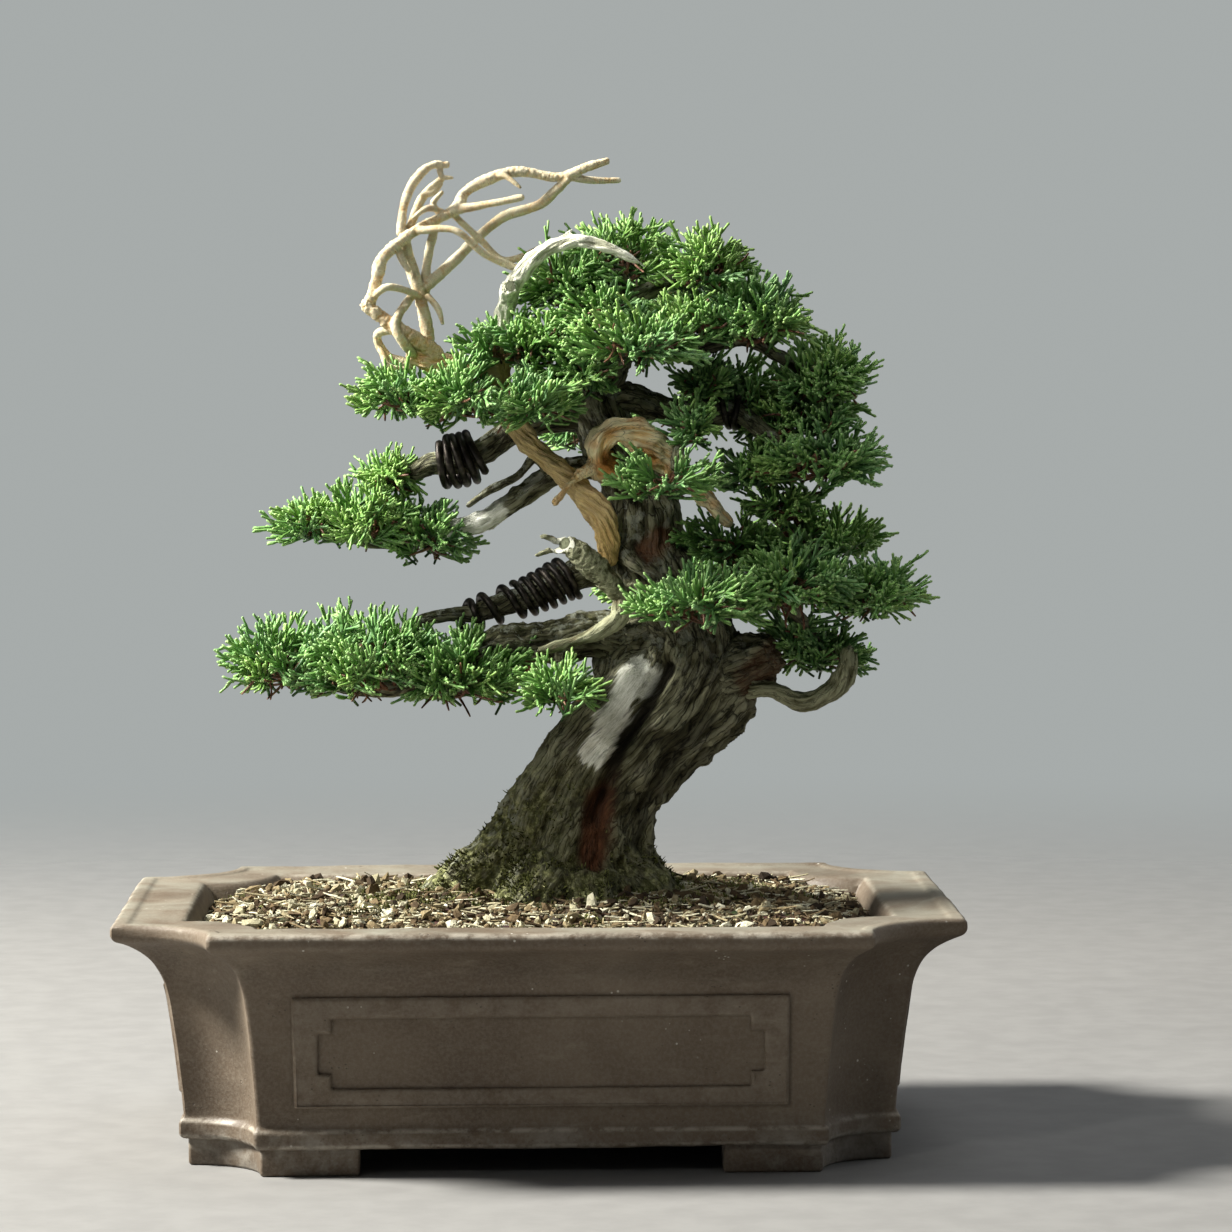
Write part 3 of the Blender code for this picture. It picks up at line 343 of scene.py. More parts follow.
# loose growth that fills between the pads: centre, half sizes, spacing of its fronds
EXTRA_GROWTH = {
    "foliage_upper_left_top": [((7, -12, 271), (14, 11, 8), 66)],
    "foliage_apex_front": [((14, -15, 259), (11, 10, 7), 62), ((22, -12, 281), (13, 10, 8), 72)],
    "foliage_upper_right_top": [((53, -12, 277), (12, 12, 8), 60)],
    "foliage_right_inner": [((58, 2, 256), (12, 12, 8), 80), ((86, 6, 243), (15, 12, 9), 70)],
    "foliage_upper_right_tip": [((99, 0, 243), (10, 14, 6), 62)],
    "foliage_mid_right": [((84, 2, 214), (15, 12, 6), 84), ((76, -6, 226), (13, 12, 8), 72)],
    "foliage_mid_right_front": [((52, -22, 241), (8, 8, 8), 90)],
    "foliage_low_right_middle": [((66, -8, 202), (17, 13, 9), 64)],
    "foliage_low_right_under": [((88, 8, 170), (9, 12, 8), 70)],
}
SPRAY_SPACING = 60.0          # square millimetres of pad for each frond
SHOOT_RADIUS = 0.54
FROND_LENGTH = (10.5, 17.5)
BUD_LENGTH = (2.2, 5.2)
SHOOT_LEAN = (20, 44)         # degrees between a frond's stem and its side shoots
TWIGS_PER_HUB = 3
GOLDEN_ANGLE = math.pi * (3 - math.sqrt(5))
# (x, z) lines the photograph shows bare, how far fronds keep off, and the y behind which they may stay
CLEAR_VIEWS = [
    ([(-11, 280), (-10, 285), (-4, 294), (4, 301), (14, 304), (24, 302), (34, 297)], 4.2, 2.0),
    ([(-12, 266), (-11, 258)], 4.0, 2.0),
    ([(-5, 240), (3, 231), (12, 223), (21, 213), (24, 204)], 5.5, 2.0),
    ([(6, 216), (14, 226), (21, 232), (24, 239), (31, 240), (40, 236), (46, 230)], 5.5, 2.0),
    ([(57, 217), (66, 208)], 4.5, 2.0),
    ([(-34, 230), (-19, 233)], 9.0, 20.0),
    ([(-8, 215), (-22, 208)], 4.5, 20.0),
    ([(-60, 284), (-53, 272), (-38, 264), (-36, 272)], 5.0, 20.0),
]


# --- small maths -------------------------------------------------------------
def smooth_path(points, steps):
    """A Catmull-Rom curve through the given points, any number of columns."""
    knots = np.array(points, dtype=float)
    before = 2 * knots[0] - knots[1]
    after = 2 * knots[-1] - knots[-2]
    knots = np.vstack([before, knots, after])
    path = []
    for a, b, c, d in zip(knots, knots[1:], knots[2:], knots[3:]):
        for step in range(steps):
            t = step / steps
            path.append(0.5 * (2 * b + (c - a) * t + (2 * a - 5 * b + 4 * c - d) * t ** 2
                               + (3 * b - a - 3 * c + d) * t ** 3))
    path.append(knots[-2])
    return np.array(path)


def unit(vectors):
    return vectors / np.maximum(np.linalg.norm(vectors, axis=-1, keepdims=True), 1e-9)


def smoothstep(low, high, value):
    t = np.clip((value - low) / (high - low), 0.0, 1.0)
    return t * t * (3 - 2 * t)


def bezier(t, start, middle, end):
    return (1 - t) ** 2 * start + 2 * t * (1 - t) * middle + t ** 2 * end


def hashed(cells, seed):
    """A repeatable value in -1..1 for each whole-number cell."""
    cells = cells.astype(np.int64).astype(np.uint64)
    mask = np.uint64(0xFFFFFFFF)
    h = (cells[..., 0] * np.uint64(374761393) + cells[..., 1] * np.uint64(668265263)
         + cells[..., 2] * np.uint64(2246822519) + np.uint64(seed * 1274126177 + 97)) & mask
    h = ((h ^ (h >> np.uint64(13))) * np.uint64(1103515245)) & mask
    h = ((h ^ (h >> np.uint64(15))) * np.uint64(2654435761)) & mask
    h = h ^ (h >> np.uint64(16))
    return h.astype(float) / 2147483647.5 - 1.0


def noise(points, seed=0):
    """Smooth value noise, about -1..1, one unit per cell."""
    base = np.floor(points)
    t = points - base
    t = t * t * t * (t * (6 * t - 15) + 10)
    total = np.zeros(len(points))
    for corner in range(8):
        offset = np.array([corner & 1, (corner >> 1) & 1, corner >> 2])
        weight = np.prod(np.where(offset == 1, t, 1 - t), axis=1)
        total += weight * hashed(base + offset, seed)
    return total


def fractal(points, octaves, seed=0, gain=0.55):
    total = np.zeros(len(points))
    weight = 1.0
    for octave in range(octaves):
        total += weight * noise(points * 2.03 ** octave + 17.3 * octave, seed + octave)
        weight *= gain
    return total


def distance_to_line(points, line):
    """Distance in the XZ plane from each point to a polyline of (x, z) corners."""
    flat = points[:, [0, 2]]
    line = np.array(line, dtype=float)
    nearest = np.full(len(points), 1e9)
    for a, b in zip(line, line[1:]):
        along = b - a
        share = np.clip((flat - a) @ along / (along @ along), 0, 1)
        nearest = np.minimum(nearest, np.linalg.norm(flat - a - share[:, None] * along, axis=1))
    return nearest


# --- meshes ------------------------------------------------------------------
def new_mesh(name, verts, face_sets, smooth=True):
    """A mesh object from millimetre points and arrays of equal-sized faces."""
    mesh = bpy.data.meshes.new(name)
    verts = np.asarray(verts, dtype=float)
    mesh.vertices.add(len(verts))
    mesh.vertices.foreach_set("co", (verts * MM).ravel())
    face_sets = [np.asarray(faces) for faces in face_sets if len(faces)]
    corners = np.concatenate([faces.ravel() for faces in face_sets])
    sizes = np.concatenate([np.full(len(faces), faces.shape[1]) for faces in face_sets])
    mesh.loops.add(len(corners))
    mesh.loops.foreach_set("vertex_index", corners.astype(np.int32))
    mesh.polygons.add(len(sizes))
    starts = np.concatenate([[0], np.cumsum(sizes)[:-1]])
    mesh.polygons.foreach_set("loop_start", starts.astype(np.int32))
    mesh.update(calc_edges=True)
    mesh.polygons.foreach_set("use_smooth", np.full(len(sizes), smooth))
    return show(name, mesh)


def circle(sides):
    """The cosines and sines of evenly spaced angles."""
    angles = np.arange(sides) * 2 * math.pi / sides
    return np.cos(angles), np.sin(angles)


def ring_faces(levels, count, first=0):
    """The index of each point in a stack of rings, and the four-cornered faces between them."""
    index = np.arange(levels * count).reshape(levels, count) + first
    after = np.roll(index, -1, axis=1)
    return index, np.stack([index[:-1], after[:-1], after[1:], index[1:]], axis=-1).reshape(-1, 4)


def stacked_rings(name, rings):
    """A closed mesh through equal rings of points, capped at both ends."""
    rings = np.asarray(rings)
    index, quads = ring_faces(*rings.shape[:2])
    return new_mesh(name, rings.reshape(-1, 3), [quads, [index[0][::-1]], [index[-1]]])


def at_height(flat, height):
    return np.column_stack([flat, np.full(len(flat), height)])


def prism(name, flat, low, high):
    """A flat outline pulled up into a solid."""
    count = len(flat)
    index = np.arange(count)
    after = (index + 1) % count
    walls = np.stack([index, after, after + count, index + count], axis=1)
    return new_mesh(name, np.vstack([at_height(flat, low), at_height(flat, high)]),
                    [walls, [index[::-1]], [index + count]])


def show(name, data):
    """A new object in the scene."""
    obj = bpy.data.objects.new(name, data)
    bpy.context.scene.collection.objects.link(obj)
    return obj


def read_points(mesh):
    points = np.empty(len(mesh.vertices) * 3)
    mesh.vertices.foreach_get("co", points)
    return points.reshape(-1, 3) / MM


def write_points(mesh, points):
    mesh.vertices.foreach_set("co", (points * MM).ravel())
    mesh.update()


def read_normals(mesh):
    normals = np.empty(len(mesh.vertices) * 3)
    mesh.vertex_normals.foreach_get("vector", normals)
    return normals.reshape(-1, 3)


def store(mesh, name, values):
    """Keep one number, or one vector, for each vertex."""
    values = np.asarray(values, dtype=np.float32)
    if values.ndim == 1:
        attribute = mesh.attributes.new(name, "FLOAT", "POINT")
        attribute.data.foreach_set("value", values)
    else:
        attribute = mesh.attributes.new(name, "FLOAT_VECTOR", "POINT")
        attribute.data.foreach_set("vector", values.ravel())


def relax(mesh, values, rounds):
    """Even out per-vertex values along the mesh's edges."""
    edges = np.empty(len(mesh.edges) * 2, dtype=np.int32)
    mesh.edges.foreach_get("vertices", edges)
    edges = edges.reshape(-1, 2)
    count = np.bincount(edges.ravel(), minlength=len(mesh.vertices)) + 1.0
    for _ in range(rounds):
        total = values.copy()
        total += np.bincount(edges[:, 0], values[edges[:, 1]], len(mesh.vertices))
        total += np.bincount(edges[:, 1], values[edges[:, 0]], len(mesh.vertices))
        values = total / count
    return values


def evaluated(obj):
    """Apply the object's modifiers."""
    depsgraph = bpy.context.evaluated_depsgraph_get()
    mesh = bpy.data.meshes.new_from_object(obj.evaluated_get(depsgraph))
    old = obj.data
    obj.modifiers.clear()
    obj.data = mesh
    if isinstance(old, bpy.types.Mesh):
        bpy.data.meshes.remove(old)
    return mesh


def voxel_remesh(obj, size):
    modifier = obj.modifiers.new("remesh", "REMESH")
    modifier.mode = "VOXEL"
    modifier.voxel_size = size * MM
    modifier.use_smooth_shade = True
    return evaluated(obj)


def join(name, objects):
    """Gather several mesh objects into one, keeping their attributes."""
    with bpy.context.temp_override(active_object=objects[0], selected_editable_objects=objects,
                                   selected_objects=objects, object=objects[0]):
        bpy.ops.object.join()
    objects[0].name = name
    objects[0].data.name = name
    return objects[0]


def soften(mesh, degrees):
    """Smooth shading everywhere but across creases sharper than this."""
    mesh.polygons.foreach_set("use_smooth", np.full(len(mesh.polygons), True))
    mesh.set_sharp_from_angle(angle=math.radians(degrees))


def place(obj, shader, slot, *nodes):
    """Dress a finished piece and hang it on the frame."""
    obj.data.materials.clear()
    obj.data.materials.append(shader)
    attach(obj, "root")
    if nodes:
        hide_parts(*nodes)
    return obj


# --- tubes -------------------------------------------------------------------
def transport_frames(centres):
    """Tangent and two side vectors along a path, without twist."""
    tangents = unit(np.gradient(centres, axis=0))
    side = np.cross(tangents[0], (0.0, 1.0, 0.0))
    if np.linalg.norm(side) < 0.2:
        side = np.cross(tangents[0], (1.0, 0.0, 0.0))
    sides = []
    for tangent in tangents:
        side = unit(side - tangent * (side @ tangent))
        sides.append(side)
    sides = np.array(sides)
    return tangents, sides, np.cross(tangents, sides)


def tube_grid(path, sides, first=0):
    """Points and faces of a closed rod along (x, y, z, radius) points."""
    path = np.asarray(path, dtype=float)
    centres, radii = path[:, :3], path[:, 3]
    tangents, side, other = transport_frames(centres)
    lead, trail = 0.6 * radii[0], 0.6 * radii[-1]
    centres = np.vstack([centres[0] - lead * tangents[0], centres, centres[-1] + trail * tangents[-1]])
    radii = np.concatenate([[0.55 * radii[0]], radii, [0.55 * radii[-1]]])
    side = np.vstack([side[0], side, side[-1]])
    other = np.vstack([other[0], other, other[-1]])
    cosines, sines = circle(sides)
    around = cosines[None, :, None] * side[:, None] + sines[None, :, None] * other[:, None]
    rings = centres[:, None] + radii[:, None, None] * around
    index, quads = ring_faces(len(centres), sides, first)
    caps = np.array([index[0][::-1], index[-1]])
    return rings.reshape(-1, 3), quads, caps


def rods_mesh(name, paths, sides):
    """Many closed rods in one mesh, still overlapping."""
    verts, quads, caps = [], [], []
    first = 0
    for path in paths:
        points, faces, ends = tube_grid(path, sides, first)
        verts.append(points)
        quads.append(faces)
        caps.append(ends)
        first += len(points)
    return new_mesh(name, np.vstack(verts), [np.vstack(quads), np.vstack(caps)])


# --- wood --------------------------------------------------------------------
class Limbs:
    """Densely sampled centre lines, to find each vertex's place on its limb."""

    def __init__(self, groups, steps=7):
        self.paths = [smooth_path(points, steps) for points in groups]
        rows = []
        for number, path in enumerate(self.paths):
            centres = path[:, :3]
            tangents, side, other = transport_frames(centres)
            gaps = np.linalg.norm(np.diff(centres, axis=0), axis=1)
            run = np.concatenate([[0], np.cumsum(gaps)])
            share = run / run[-1]
            rows.append(np.column_stack([path, tangents, side, other, run, share,
                                         np.full(len(path), number)]))
        rows = np.vstack(rows)
        self.centre, self.radius = rows[:, :3], rows[:, 3]
        self.tangent, self.side, self.other = rows[:, 4:7], rows[:, 7:10], rows[:, 10:13]
        self.run, self.share, self.number = rows[:, 13], rows[:, 14], rows[:, 15]

    def locate(self, points):
        """Limb coordinates (across, across, along), and which sample of the limbs is nearest."""
        best = np.empty(len(points), dtype=int)
        for start in range(0, len(points), 8000):
            block = points[start:start + 8000]
            apart = np.linalg.norm(block[:, None] - self.centre[None], axis=2) - self.radius[None]
            best[start:start + 8000] = np.argmin(apart, axis=1)
        offset = points - self.centre[best]
        along = self.run[best] + np.sum(offset * self.tangent[best], axis=1)
        a = np.sum(offset * self.side[best], axis=1)
        b = np.sum(offset * self.other[best], axis=1)
        grain = np.column_stack([a + 37.0 * self.number[best], b, along])
        return grain, best


def uneven(path, amount, seed):
    """A rod whose thickness and course wander a little."""
    path = np.array(path)
    run = np.concatenate([[0], np.cumsum(np.linalg.norm(np.diff(path[:, :3], axis=0), axis=1))])
    beat = np.column_stack([run / 7.0, np.full(len(run), seed * 3.7), np.zeros(len(run))])
    path[:, 3] *= 1 + amount * noise(beat, seed)
    return path


def stirred(grain, points, amount, size, seed):
    """Limb coordinates pushed about a little, so that fibres don't run straight."""
    swirl = grain.copy()
    swirl[:, 0] += amount * noise(points / size, seed)
    swirl[:, 1] += amount * noise(points / size, seed + 1)
    return swirl


def ridges(grain, across, along, seed, octaves=3):
    """Fibrous relief that runs along the limb, about -1..1."""
    stretched = grain / np.array([across, across, along])
    return 1.0 - 2.0 * np.abs(fractal(stretched, octaves, seed))


# --- shader helper -----------------------------------------------------------
class Shader:
    """Short names for the nodes that the materials use."""

    def __init__(self, name):
        self.material = bpy.data.materials.new(name)
        self.material.use_nodes = True
        self.tree = self.material.node_tree
        self.surface = self.tree.nodes["Principled BSDF"]
        self.place = self.tree.nodes.new("ShaderNodeTexCoord").outputs["Object"]

    def node(self, kind, inputs, output=0, **settings):
        node = self.tree.nodes.new(kind)
        for key, value in settings.items():
            setattr(node, key, value)
        for key, value in inputs.items():
            self.feed(node.inputs[key], value)
        return node.outputs[output]

    def feed(self, socket, value):
        if isinstance(value, bpy.types.NodeSocket):
            self.tree.links.new(value, socket)
        else:
            socket.default_value = value

    def vector(self, scale, source=None):
        """The place on the object, stretched."""
        return self.node("ShaderNodeVectorMath", {0: source or self.place, 1: scale},
                         operation="MULTIPLY")

    def attribute(self, name, output="Fac"):
        return self.node("ShaderNodeAttribute", {}, output, attribute_name=name)

    def noise(self, scale, detail=3.0, rough=0.55, source=None, warp=0.0):
        return self.node("ShaderNodeTexNoise", {
            "Vector": source or self.place, "Scale": scale, "Detail": detail,
            "Roughness": rough, "Distortion": warp}, "Fac")

    def cells(self, scale, output="Distance", source=None, feature="F1"):
        return self.node("ShaderNodeTexVoronoi", {"Vector": source or self.place, "Scale": scale},
                         output, feature=feature)

    def ramp(self, value, stops):
        node = self.tree.nodes.new("ShaderNodeValToRGB")
        elements = node.color_ramp.elements
        while len(elements) < len(stops):
            elements.new(0.5)
        for element, (position, colour) in zip(elements, stops):
            element.position = position
            level = (colour,) * 3 if isinstance(colour, (int, float)) else colour
            element.color = (*level, 1.0)
        self.feed(node.inputs["Fac"], value)
        return node.outputs["Color"]

    def mix(self, factor, first, second, blend="MIX"):
        def colour(value):
            return value if isinstance(value, bpy.types.NodeSocket) else (*value, 1.0)
        return self.node("ShaderNodeMixRGB", {"Fac": factor, "Color1": colour(first),
                                              "Color2": colour(second)}, blend_type=blend)

    def maths(self, operation, first, second):
        return self.node("ShaderNodeMath", {0: first, 1: second}, operation=operation)

    def times(self, first, second):
        return self.maths("MULTIPLY", first, second)

    def plus(self, first, second):
        return self.maths("ADD", first, second)

    def tint(self, colour, other, mask, strength):
        """The colour, with the other one laid over it where the mask says."""
        return self.mix(self.times(mask, strength), colour, other)

    def spread(self, value, low, high):
        """A noise value, which stays near 0.3 to 0.7, spread over a range."""
        return self.node("ShaderNodeMapRange", {"Value": value, "From Min": 0.3, "From Max": 0.7,
                                                "To Min": low, "To Max": high})

    def band(self, value, low, high):
        """0 below low, 1 above high."""
        return self.node("ShaderNodeMapRange", {"Value": value, "From Min": low, "From Max": high},
                         interpolation_type="SMOOTHSTEP")

    def finish(self, colour, roughness, bumps=(), **plain):
        self.feed(self.surface.inputs["Base Color"], colour)
        self.feed(self.surface.inputs["Roughness"], roughness)
        for key, value in plain.items():
            self.feed(self.surface.inputs[key.replace("_", " ")], value)
        normal = None
        for height, distance, strength in bumps:
            inputs = {"Height": height, "Distance": distance * MM, "Strength": strength}
            if normal:
                inputs["Normal"] = normal
            normal = self.node("ShaderNodeBump", inputs)
        if normal:
            self.feed(self.surface.inputs["Normal"], normal)
        return self.material


# --- materials ---------------------------------------------------------------
def stoneware():
    s = Shader("stoneware")
    broad = s.noise(14.0, 5.0, 0.6, warp=0.4)
    smear = s.noise(1.0, 5.0, 0.65, source=s.vector((60.0, 60.0, 220.0)))
    grit = s.noise(900.0, 3.0, 0.7)
    colour = s.ramp(broad, [(0.30, (0.080, 0.056, 0.036)), (0.50, (0.118, 0.087, 0.059)),
                            (0.72, (0.172, 0.136, 0.098))])
    colour = s.mix(s.band(smear, 0.54, 0.84), colour, (0.205, 0.170, 0.126))
    # Paler rubbed edges on the rim lip, the foot band's ledges, the inner rim and the panel moulding: partly
    # wear, partly painted highlight.
    edge = s.attribute("edge")
    wear_and_highlight = s.times(s.band(edge, 0.15, 0.9), s.band(s.noise(160.0, 4.0, 0.7), 0.38, 0.62))
    colour = s.mix(wear_and_highlight, colour, (0.34, 0.305, 0.25))
    top = s.attribute("rim_top")
    chalk = s.times(top, s.band(s.noise(26.0, 5.0, 0.65, warp=0.6), 0.30, 0.72))
    colour = s.tint(colour, (0.315, 0.325, 0.270), chalk, 0.56)
    stain = s.times(s.attribute("foot_stain"), s.band(s.noise(55.0, 5.0, 0.7), 0.42, 0.66))
    colour = s.tint(colour, (0.33, 0.315, 0.275), stain, 0.6)
    # Painted shade: near-black patches under the rim's overhang, inside the pot and beneath its floor.
    painted_shade = s.times(s.attribute("hollow"), s.band(s.noise(70.0, 4.0, 0.6), 0.25, 0.7))
    colour = s.tint(colour, (0.050, 0.040, 0.030), painted_shade, 0.65)
    flecks = s.band(s.cells(330.0), 0.16, 0.10)
    some = s.band(s.noise(75.0, 2.0), 0.60, 0.68)
    colour = s.tint(colour, (0.52, 0.50, 0.44), flecks, some)
    pits = s.band(s.cells(520.0, source=s.vector((1.0, 1.0, 1.3))), 0.22, 0.12)
    few = s.band(s.noise(120.0, 2.0), 0.55, 0.70)
    pits = s.times(pits, few)
    colour = s.tint(colour, (0.045, 0.036, 0.028), pits, 0.7)
    colour = s.tint(colour, (0.30, 0.27, 0.22), s.band(grit, 0.35, 0.70), 0.20)
    return s.finish(colour, s.spread(broad, 0.50, 0.68), [
        (smear, 1.2, 0.25), (grit, 0.35, 0.40), (pits, -0.5, 0.5)], Specular_IOR_Level=0.30)


def dimmed(colour, share):
    return tuple(min(share * level, 0.96) for level in colour)


def bark_layers(s, colour, grain, fibre, fine, relief, mottled, smooth):
    """Pale flakes, algae, the bare silver patch, and pale crusts of lichens that are partly painted light.
    """
    flake = s.times(s.band(mottled, 0.50, 0.68), s.band(relief, 0.35, 0.75))
    colour = s.tint(colour, (0.200, 0.185, 0.135), flake, 0.55)
    algae = s.times(s.attribute("moss"), s.band(s.noise(240.0, 4.0, 0.7), 0.34, 0.60))
    green = s.ramp(s.noise(420.0, 3.0, 0.7), [
        (0.32, (0.020, 0.021, 0.008)), (0.50, (0.105, 0.112, 0.036)), (0.66, (0.400, 0.410, 0.190))])
    colour = s.mix(algae, colour, green)
    streak = s.noise(1.0, 4.0, 0.65, source=s.vector((0.75, 0.75, 0.06), grain))
    bare = s.band(s.plus(s.times(s.attribute("bare"), 0.8), s.times(streak, 1.2)), 0.84, 1.14)
    silver = s.ramp(s.plus(s.times(fine, 0.55), s.times(fibre, 0.5)), [
        (0.28, (0.200, 0.205, 0.145)), (0.43, (0.620, 0.640, 0.520)), (0.58, (0.95, 0.96, 0.87))])
    colour = s.mix(bare, colour, silver)
    # Pale crusts of lichens, with painted light on the left-facing side of the trunk's flank and on the
    # branches' upper faces.
    crust_and_light = s.times(s.attribute("lichen_and_light"), s.band(s.noise(190.0, 4.0, 0.7, warp=0.5), 0.50, 0.60))
    return s.mix(crust_and_light, colour, (0.36, 0.38, 0.31)), s.maths("MAXIMUM", smooth, bare)


def saw_cut(s, colour):
    """Pale end grain with a dark ring, where the mesh says the wood was sawn."""
    sawn = s.attribute("sawn")
    rings = s.ramp(s.plus(sawn, s.times(s.noise(900.0, 3.0), 0.12)), [
        (0.40, (0.90, 0.91, 0.76)), (0.53, (0.84, 0.86, 0.70)), (0.60, (0.13, 0.145, 0.080)),
        (1.00, (0.21, 0.23, 0.14))])
    return s.mix(s.band(sawn, 0.02, 0.20), colour, rings)


def wood(name, dark, middle, pale, bark=True, orange=(0.115, 0.046, 0.020)):
    """Bark or bare wood, driven by what the mesh stores at each vertex."""
    if bark:
        strip_scale, gap_width, gap_depth, darkest_strip = (0.56, 0.56, 0.046), 0.10, 0.85, 0.60
        stops, crack_depth, rough, strip_bump, mottle_bump = (0.10, 0.42, 0.80), 0.60, 0.82, 0.55, 0.40
    else:
        strip_scale, gap_width, gap_depth, darkest_strip = (0.36, 0.36, 0.040), 0.045, 0.55, 0.84
        stops, crack_depth, rough, strip_bump, mottle_bump = (0.04, 0.30, 0.62), 0.25, 0.70, 0.40, 0.12
    s = Shader(name)
    grain = s.attribute("grain", "Vector")
    fibre = s.noise(1.0, 5.0, 0.65, source=s.vector((1.3, 1.3, 0.16), grain))
    fine = s.noise(1.0, 4.0, 0.7, source=s.vector((3.6, 3.6, 0.42), grain))
    relief = s.attribute("relief")
    mottled = s.noise(120.0, 5.0, 0.65)
    wander = s.node("ShaderNodeTexNoise", {
        "Vector": s.vector((0.5, 0.5, 0.2), grain), "Scale": 1.0, "Detail": 2.0}, "Color")
    strips = s.node("ShaderNodeVectorMath", {
        0: s.vector(strip_scale, grain), 1: s.vector((1.0, 1.0, 0.5), wander)}, operation="ADD")
    gap = s.cells(1.0, source=strips, feature="DISTANCE_TO_EDGE")
    split = s.times(s.band(gap, gap_width, 0.01), s.band(mottled, 0.30, 0.46))
    each = s.ramp(s.cells(1.0, "Color", source=strips), [(0.15, darkest_strip), (0.85, 1.0)])
    tone = s.plus(s.times(relief, 0.42), s.times(fibre, 0.75))
    colour = s.ramp(s.plus(tone, -0.08), list(zip(stops, (dark, middle, pale))))
    colour = s.mix(1.0, colour, each, "MULTIPLY")
    colour = s.tint(colour, dimmed(dark, 0.3), split, gap_depth)
    smooth = s.band(gap, 0.0, 0.20)
    if bark:
        colour, smooth = bark_layers(s, colour, grain, fibre, fine, relief, mottled, smooth)
    else:
        colour = saw_cut(s, colour)
    rust = s.ramp(s.plus(s.times(fine, 0.5), s.times(fibre, 0.5)), [
        (0.28, dimmed(orange, 0.24)), (0.44, dimmed(orange, 0.8)), (0.62, dimmed(orange, 1.45))])
    colour = s.mix(s.attribute("rust"), colour, rust)
    crack = s.band(s.noise(1.0, 3.0, 0.6, source=s.vector((0.9, 0.9, 0.07), grain)), 0.36, 0.28)
    colour = s.tint(colour, dimmed(dark, 0.25), crack, crack_depth)
    # Near-black painted shade in the deepest furrows and the cavity.
    colour = s.mix(s.attribute("painted_deep_shade"), colour, (0.008, 0.006, 0.003))
    return s.finish(colour, rough, [
        (smooth, 0.7, strip_bump), (fibre, 0.9, 0.55), (fine, 0.40, 0.60), (mottled, 0.6, mottle_bump)],
        Specular_IOR_Level=0.25)


def foliage():
    s = Shader("foliage")
    tip = s.attribute("tip")
    tone = s.attribute("tone")
    body = s.ramp(tip, [(0.0, (0.020, 0.046, 0.013)), (0.30, (0.062, 0.160, 0.036)),
                        (0.65, (0.138, 0.300, 0.068)), (0.90, (0.215, 0.400, 0.105)),
                        (1.0, (0.33, 0.49, 0.18))])
    blue = s.ramp(tip, [(0.0, (0.016, 0.042, 0.016)), (0.35, (0.054, 0.150, 0.048)),
                        (0.75, (0.130, 0.290, 0.092)), (1.0, (0.26, 0.43, 0.17))])
    colour = s.mix(s.band(tone, 0.35, 0.85), body, blue)
    yellow = s.times(s.band(tone, 0.22, 0.05), s.band(tip, 0.25, 0.9))
    colour = s.tint(colour, (0.340, 0.480, 0.100), yellow, 0.30)
    mottle = s.noise(900.0, 3.0, 0.6)
    colour = s.tint(colour, (0.026, 0.075, 0.018), s.band(mottle, 0.45, 0.75), 0.28)
    bloom = s.noise(260.0, 2.0, 0.5)
    colour = s.tint(colour, (0.30, 0.42, 0.24), s.band(bloom, 0.58, 0.78), 0.22)
    woody = s.attribute("woody")
    twig = s.ramp(s.noise(500.0, 4.0, 0.65), [
        (0.32, (0.035, 0.014, 0.008)), (0.52, (0.150, 0.062, 0.034)), (0.72, (0.360, 0.210, 0.120))])
    colour = s.mix(woody, colour, twig)
    return s.finish(colour, s.spread(mottle, 0.38, 0.60), [(mottle, 0.25, 0.4)], Specular_IOR_Level=0.45)


def soil_mix():
    s = Shader("soil_mix")
    clumps = s.noise(260.0, 5.0, 0.7)
    bits = s.cells(480.0, "Color")
    colour = s.ramp(clumps, [(0.30, (0.016, 0.012, 0.008)), (0.50, (0.050, 0.036, 0.022)),
                             (0.70, (0.130, 0.098, 0.058))])
    colour = s.mix(0.35, colour, s.mix(1.0, bits, (0.115, 0.085, 0.050), "MULTIPLY"))
    return s.finish(colour, 0.95, [(clumps, 1.5, 0.8)], Specular_IOR_Level=0.2)


def granules():
    """Crumbs of bark, pumice and baked clay: each has a tone of its own."""
    s = Shader("granules")
    tone = s.attribute("tone")
    colour = s.ramp(tone, [(0.00, (0.020, 0.014, 0.009)), (0.22, (0.055, 0.036, 0.020)),
                           (0.42, (0.135, 0.094, 0.048)), (0.56, (0.275, 0.220, 0.122)),
                           (0.74, (0.430, 0.400, 0.262)), (1.00, (0.680, 0.660, 0.510))])
    pores = s.noise(1300.0, 3.0, 0.7)
    colour = s.tint(colour, (0.045, 0.032, 0.018), s.band(pores, 0.40, 0.70), 0.45)
    return s.finish(colour, 0.92, [(pores, 0.35, 0.7)], Specular_IOR_Level=0.2)


def moss():
    s = Shader("moss")
    tone = s.attribute("tone")
    tip = s.attribute("tip")
    colour = s.ramp(tone, [(0.0, (0.050, 0.042, 0.014)), (0.35, (0.110, 0.125, 0.030)),
                           (0.70, (0.250, 0.275, 0.090)), (1.0, (0.480, 0.470, 0.240))])
    colour = s.mix(s.band(tip, 0.9, 0.1), colour, (0.020, 0.020, 0.008))
    fuzz = s.noise(1500.0, 2.0, 0.6)
    colour = s.tint(colour, (0.030, 0.040, 0.012), s.band(fuzz, 0.45, 0.7), 0.3)
    return s.finish(colour, 0.9, [(fuzz, 0.2, 0.5)], Specular_IOR_Level=0.2)


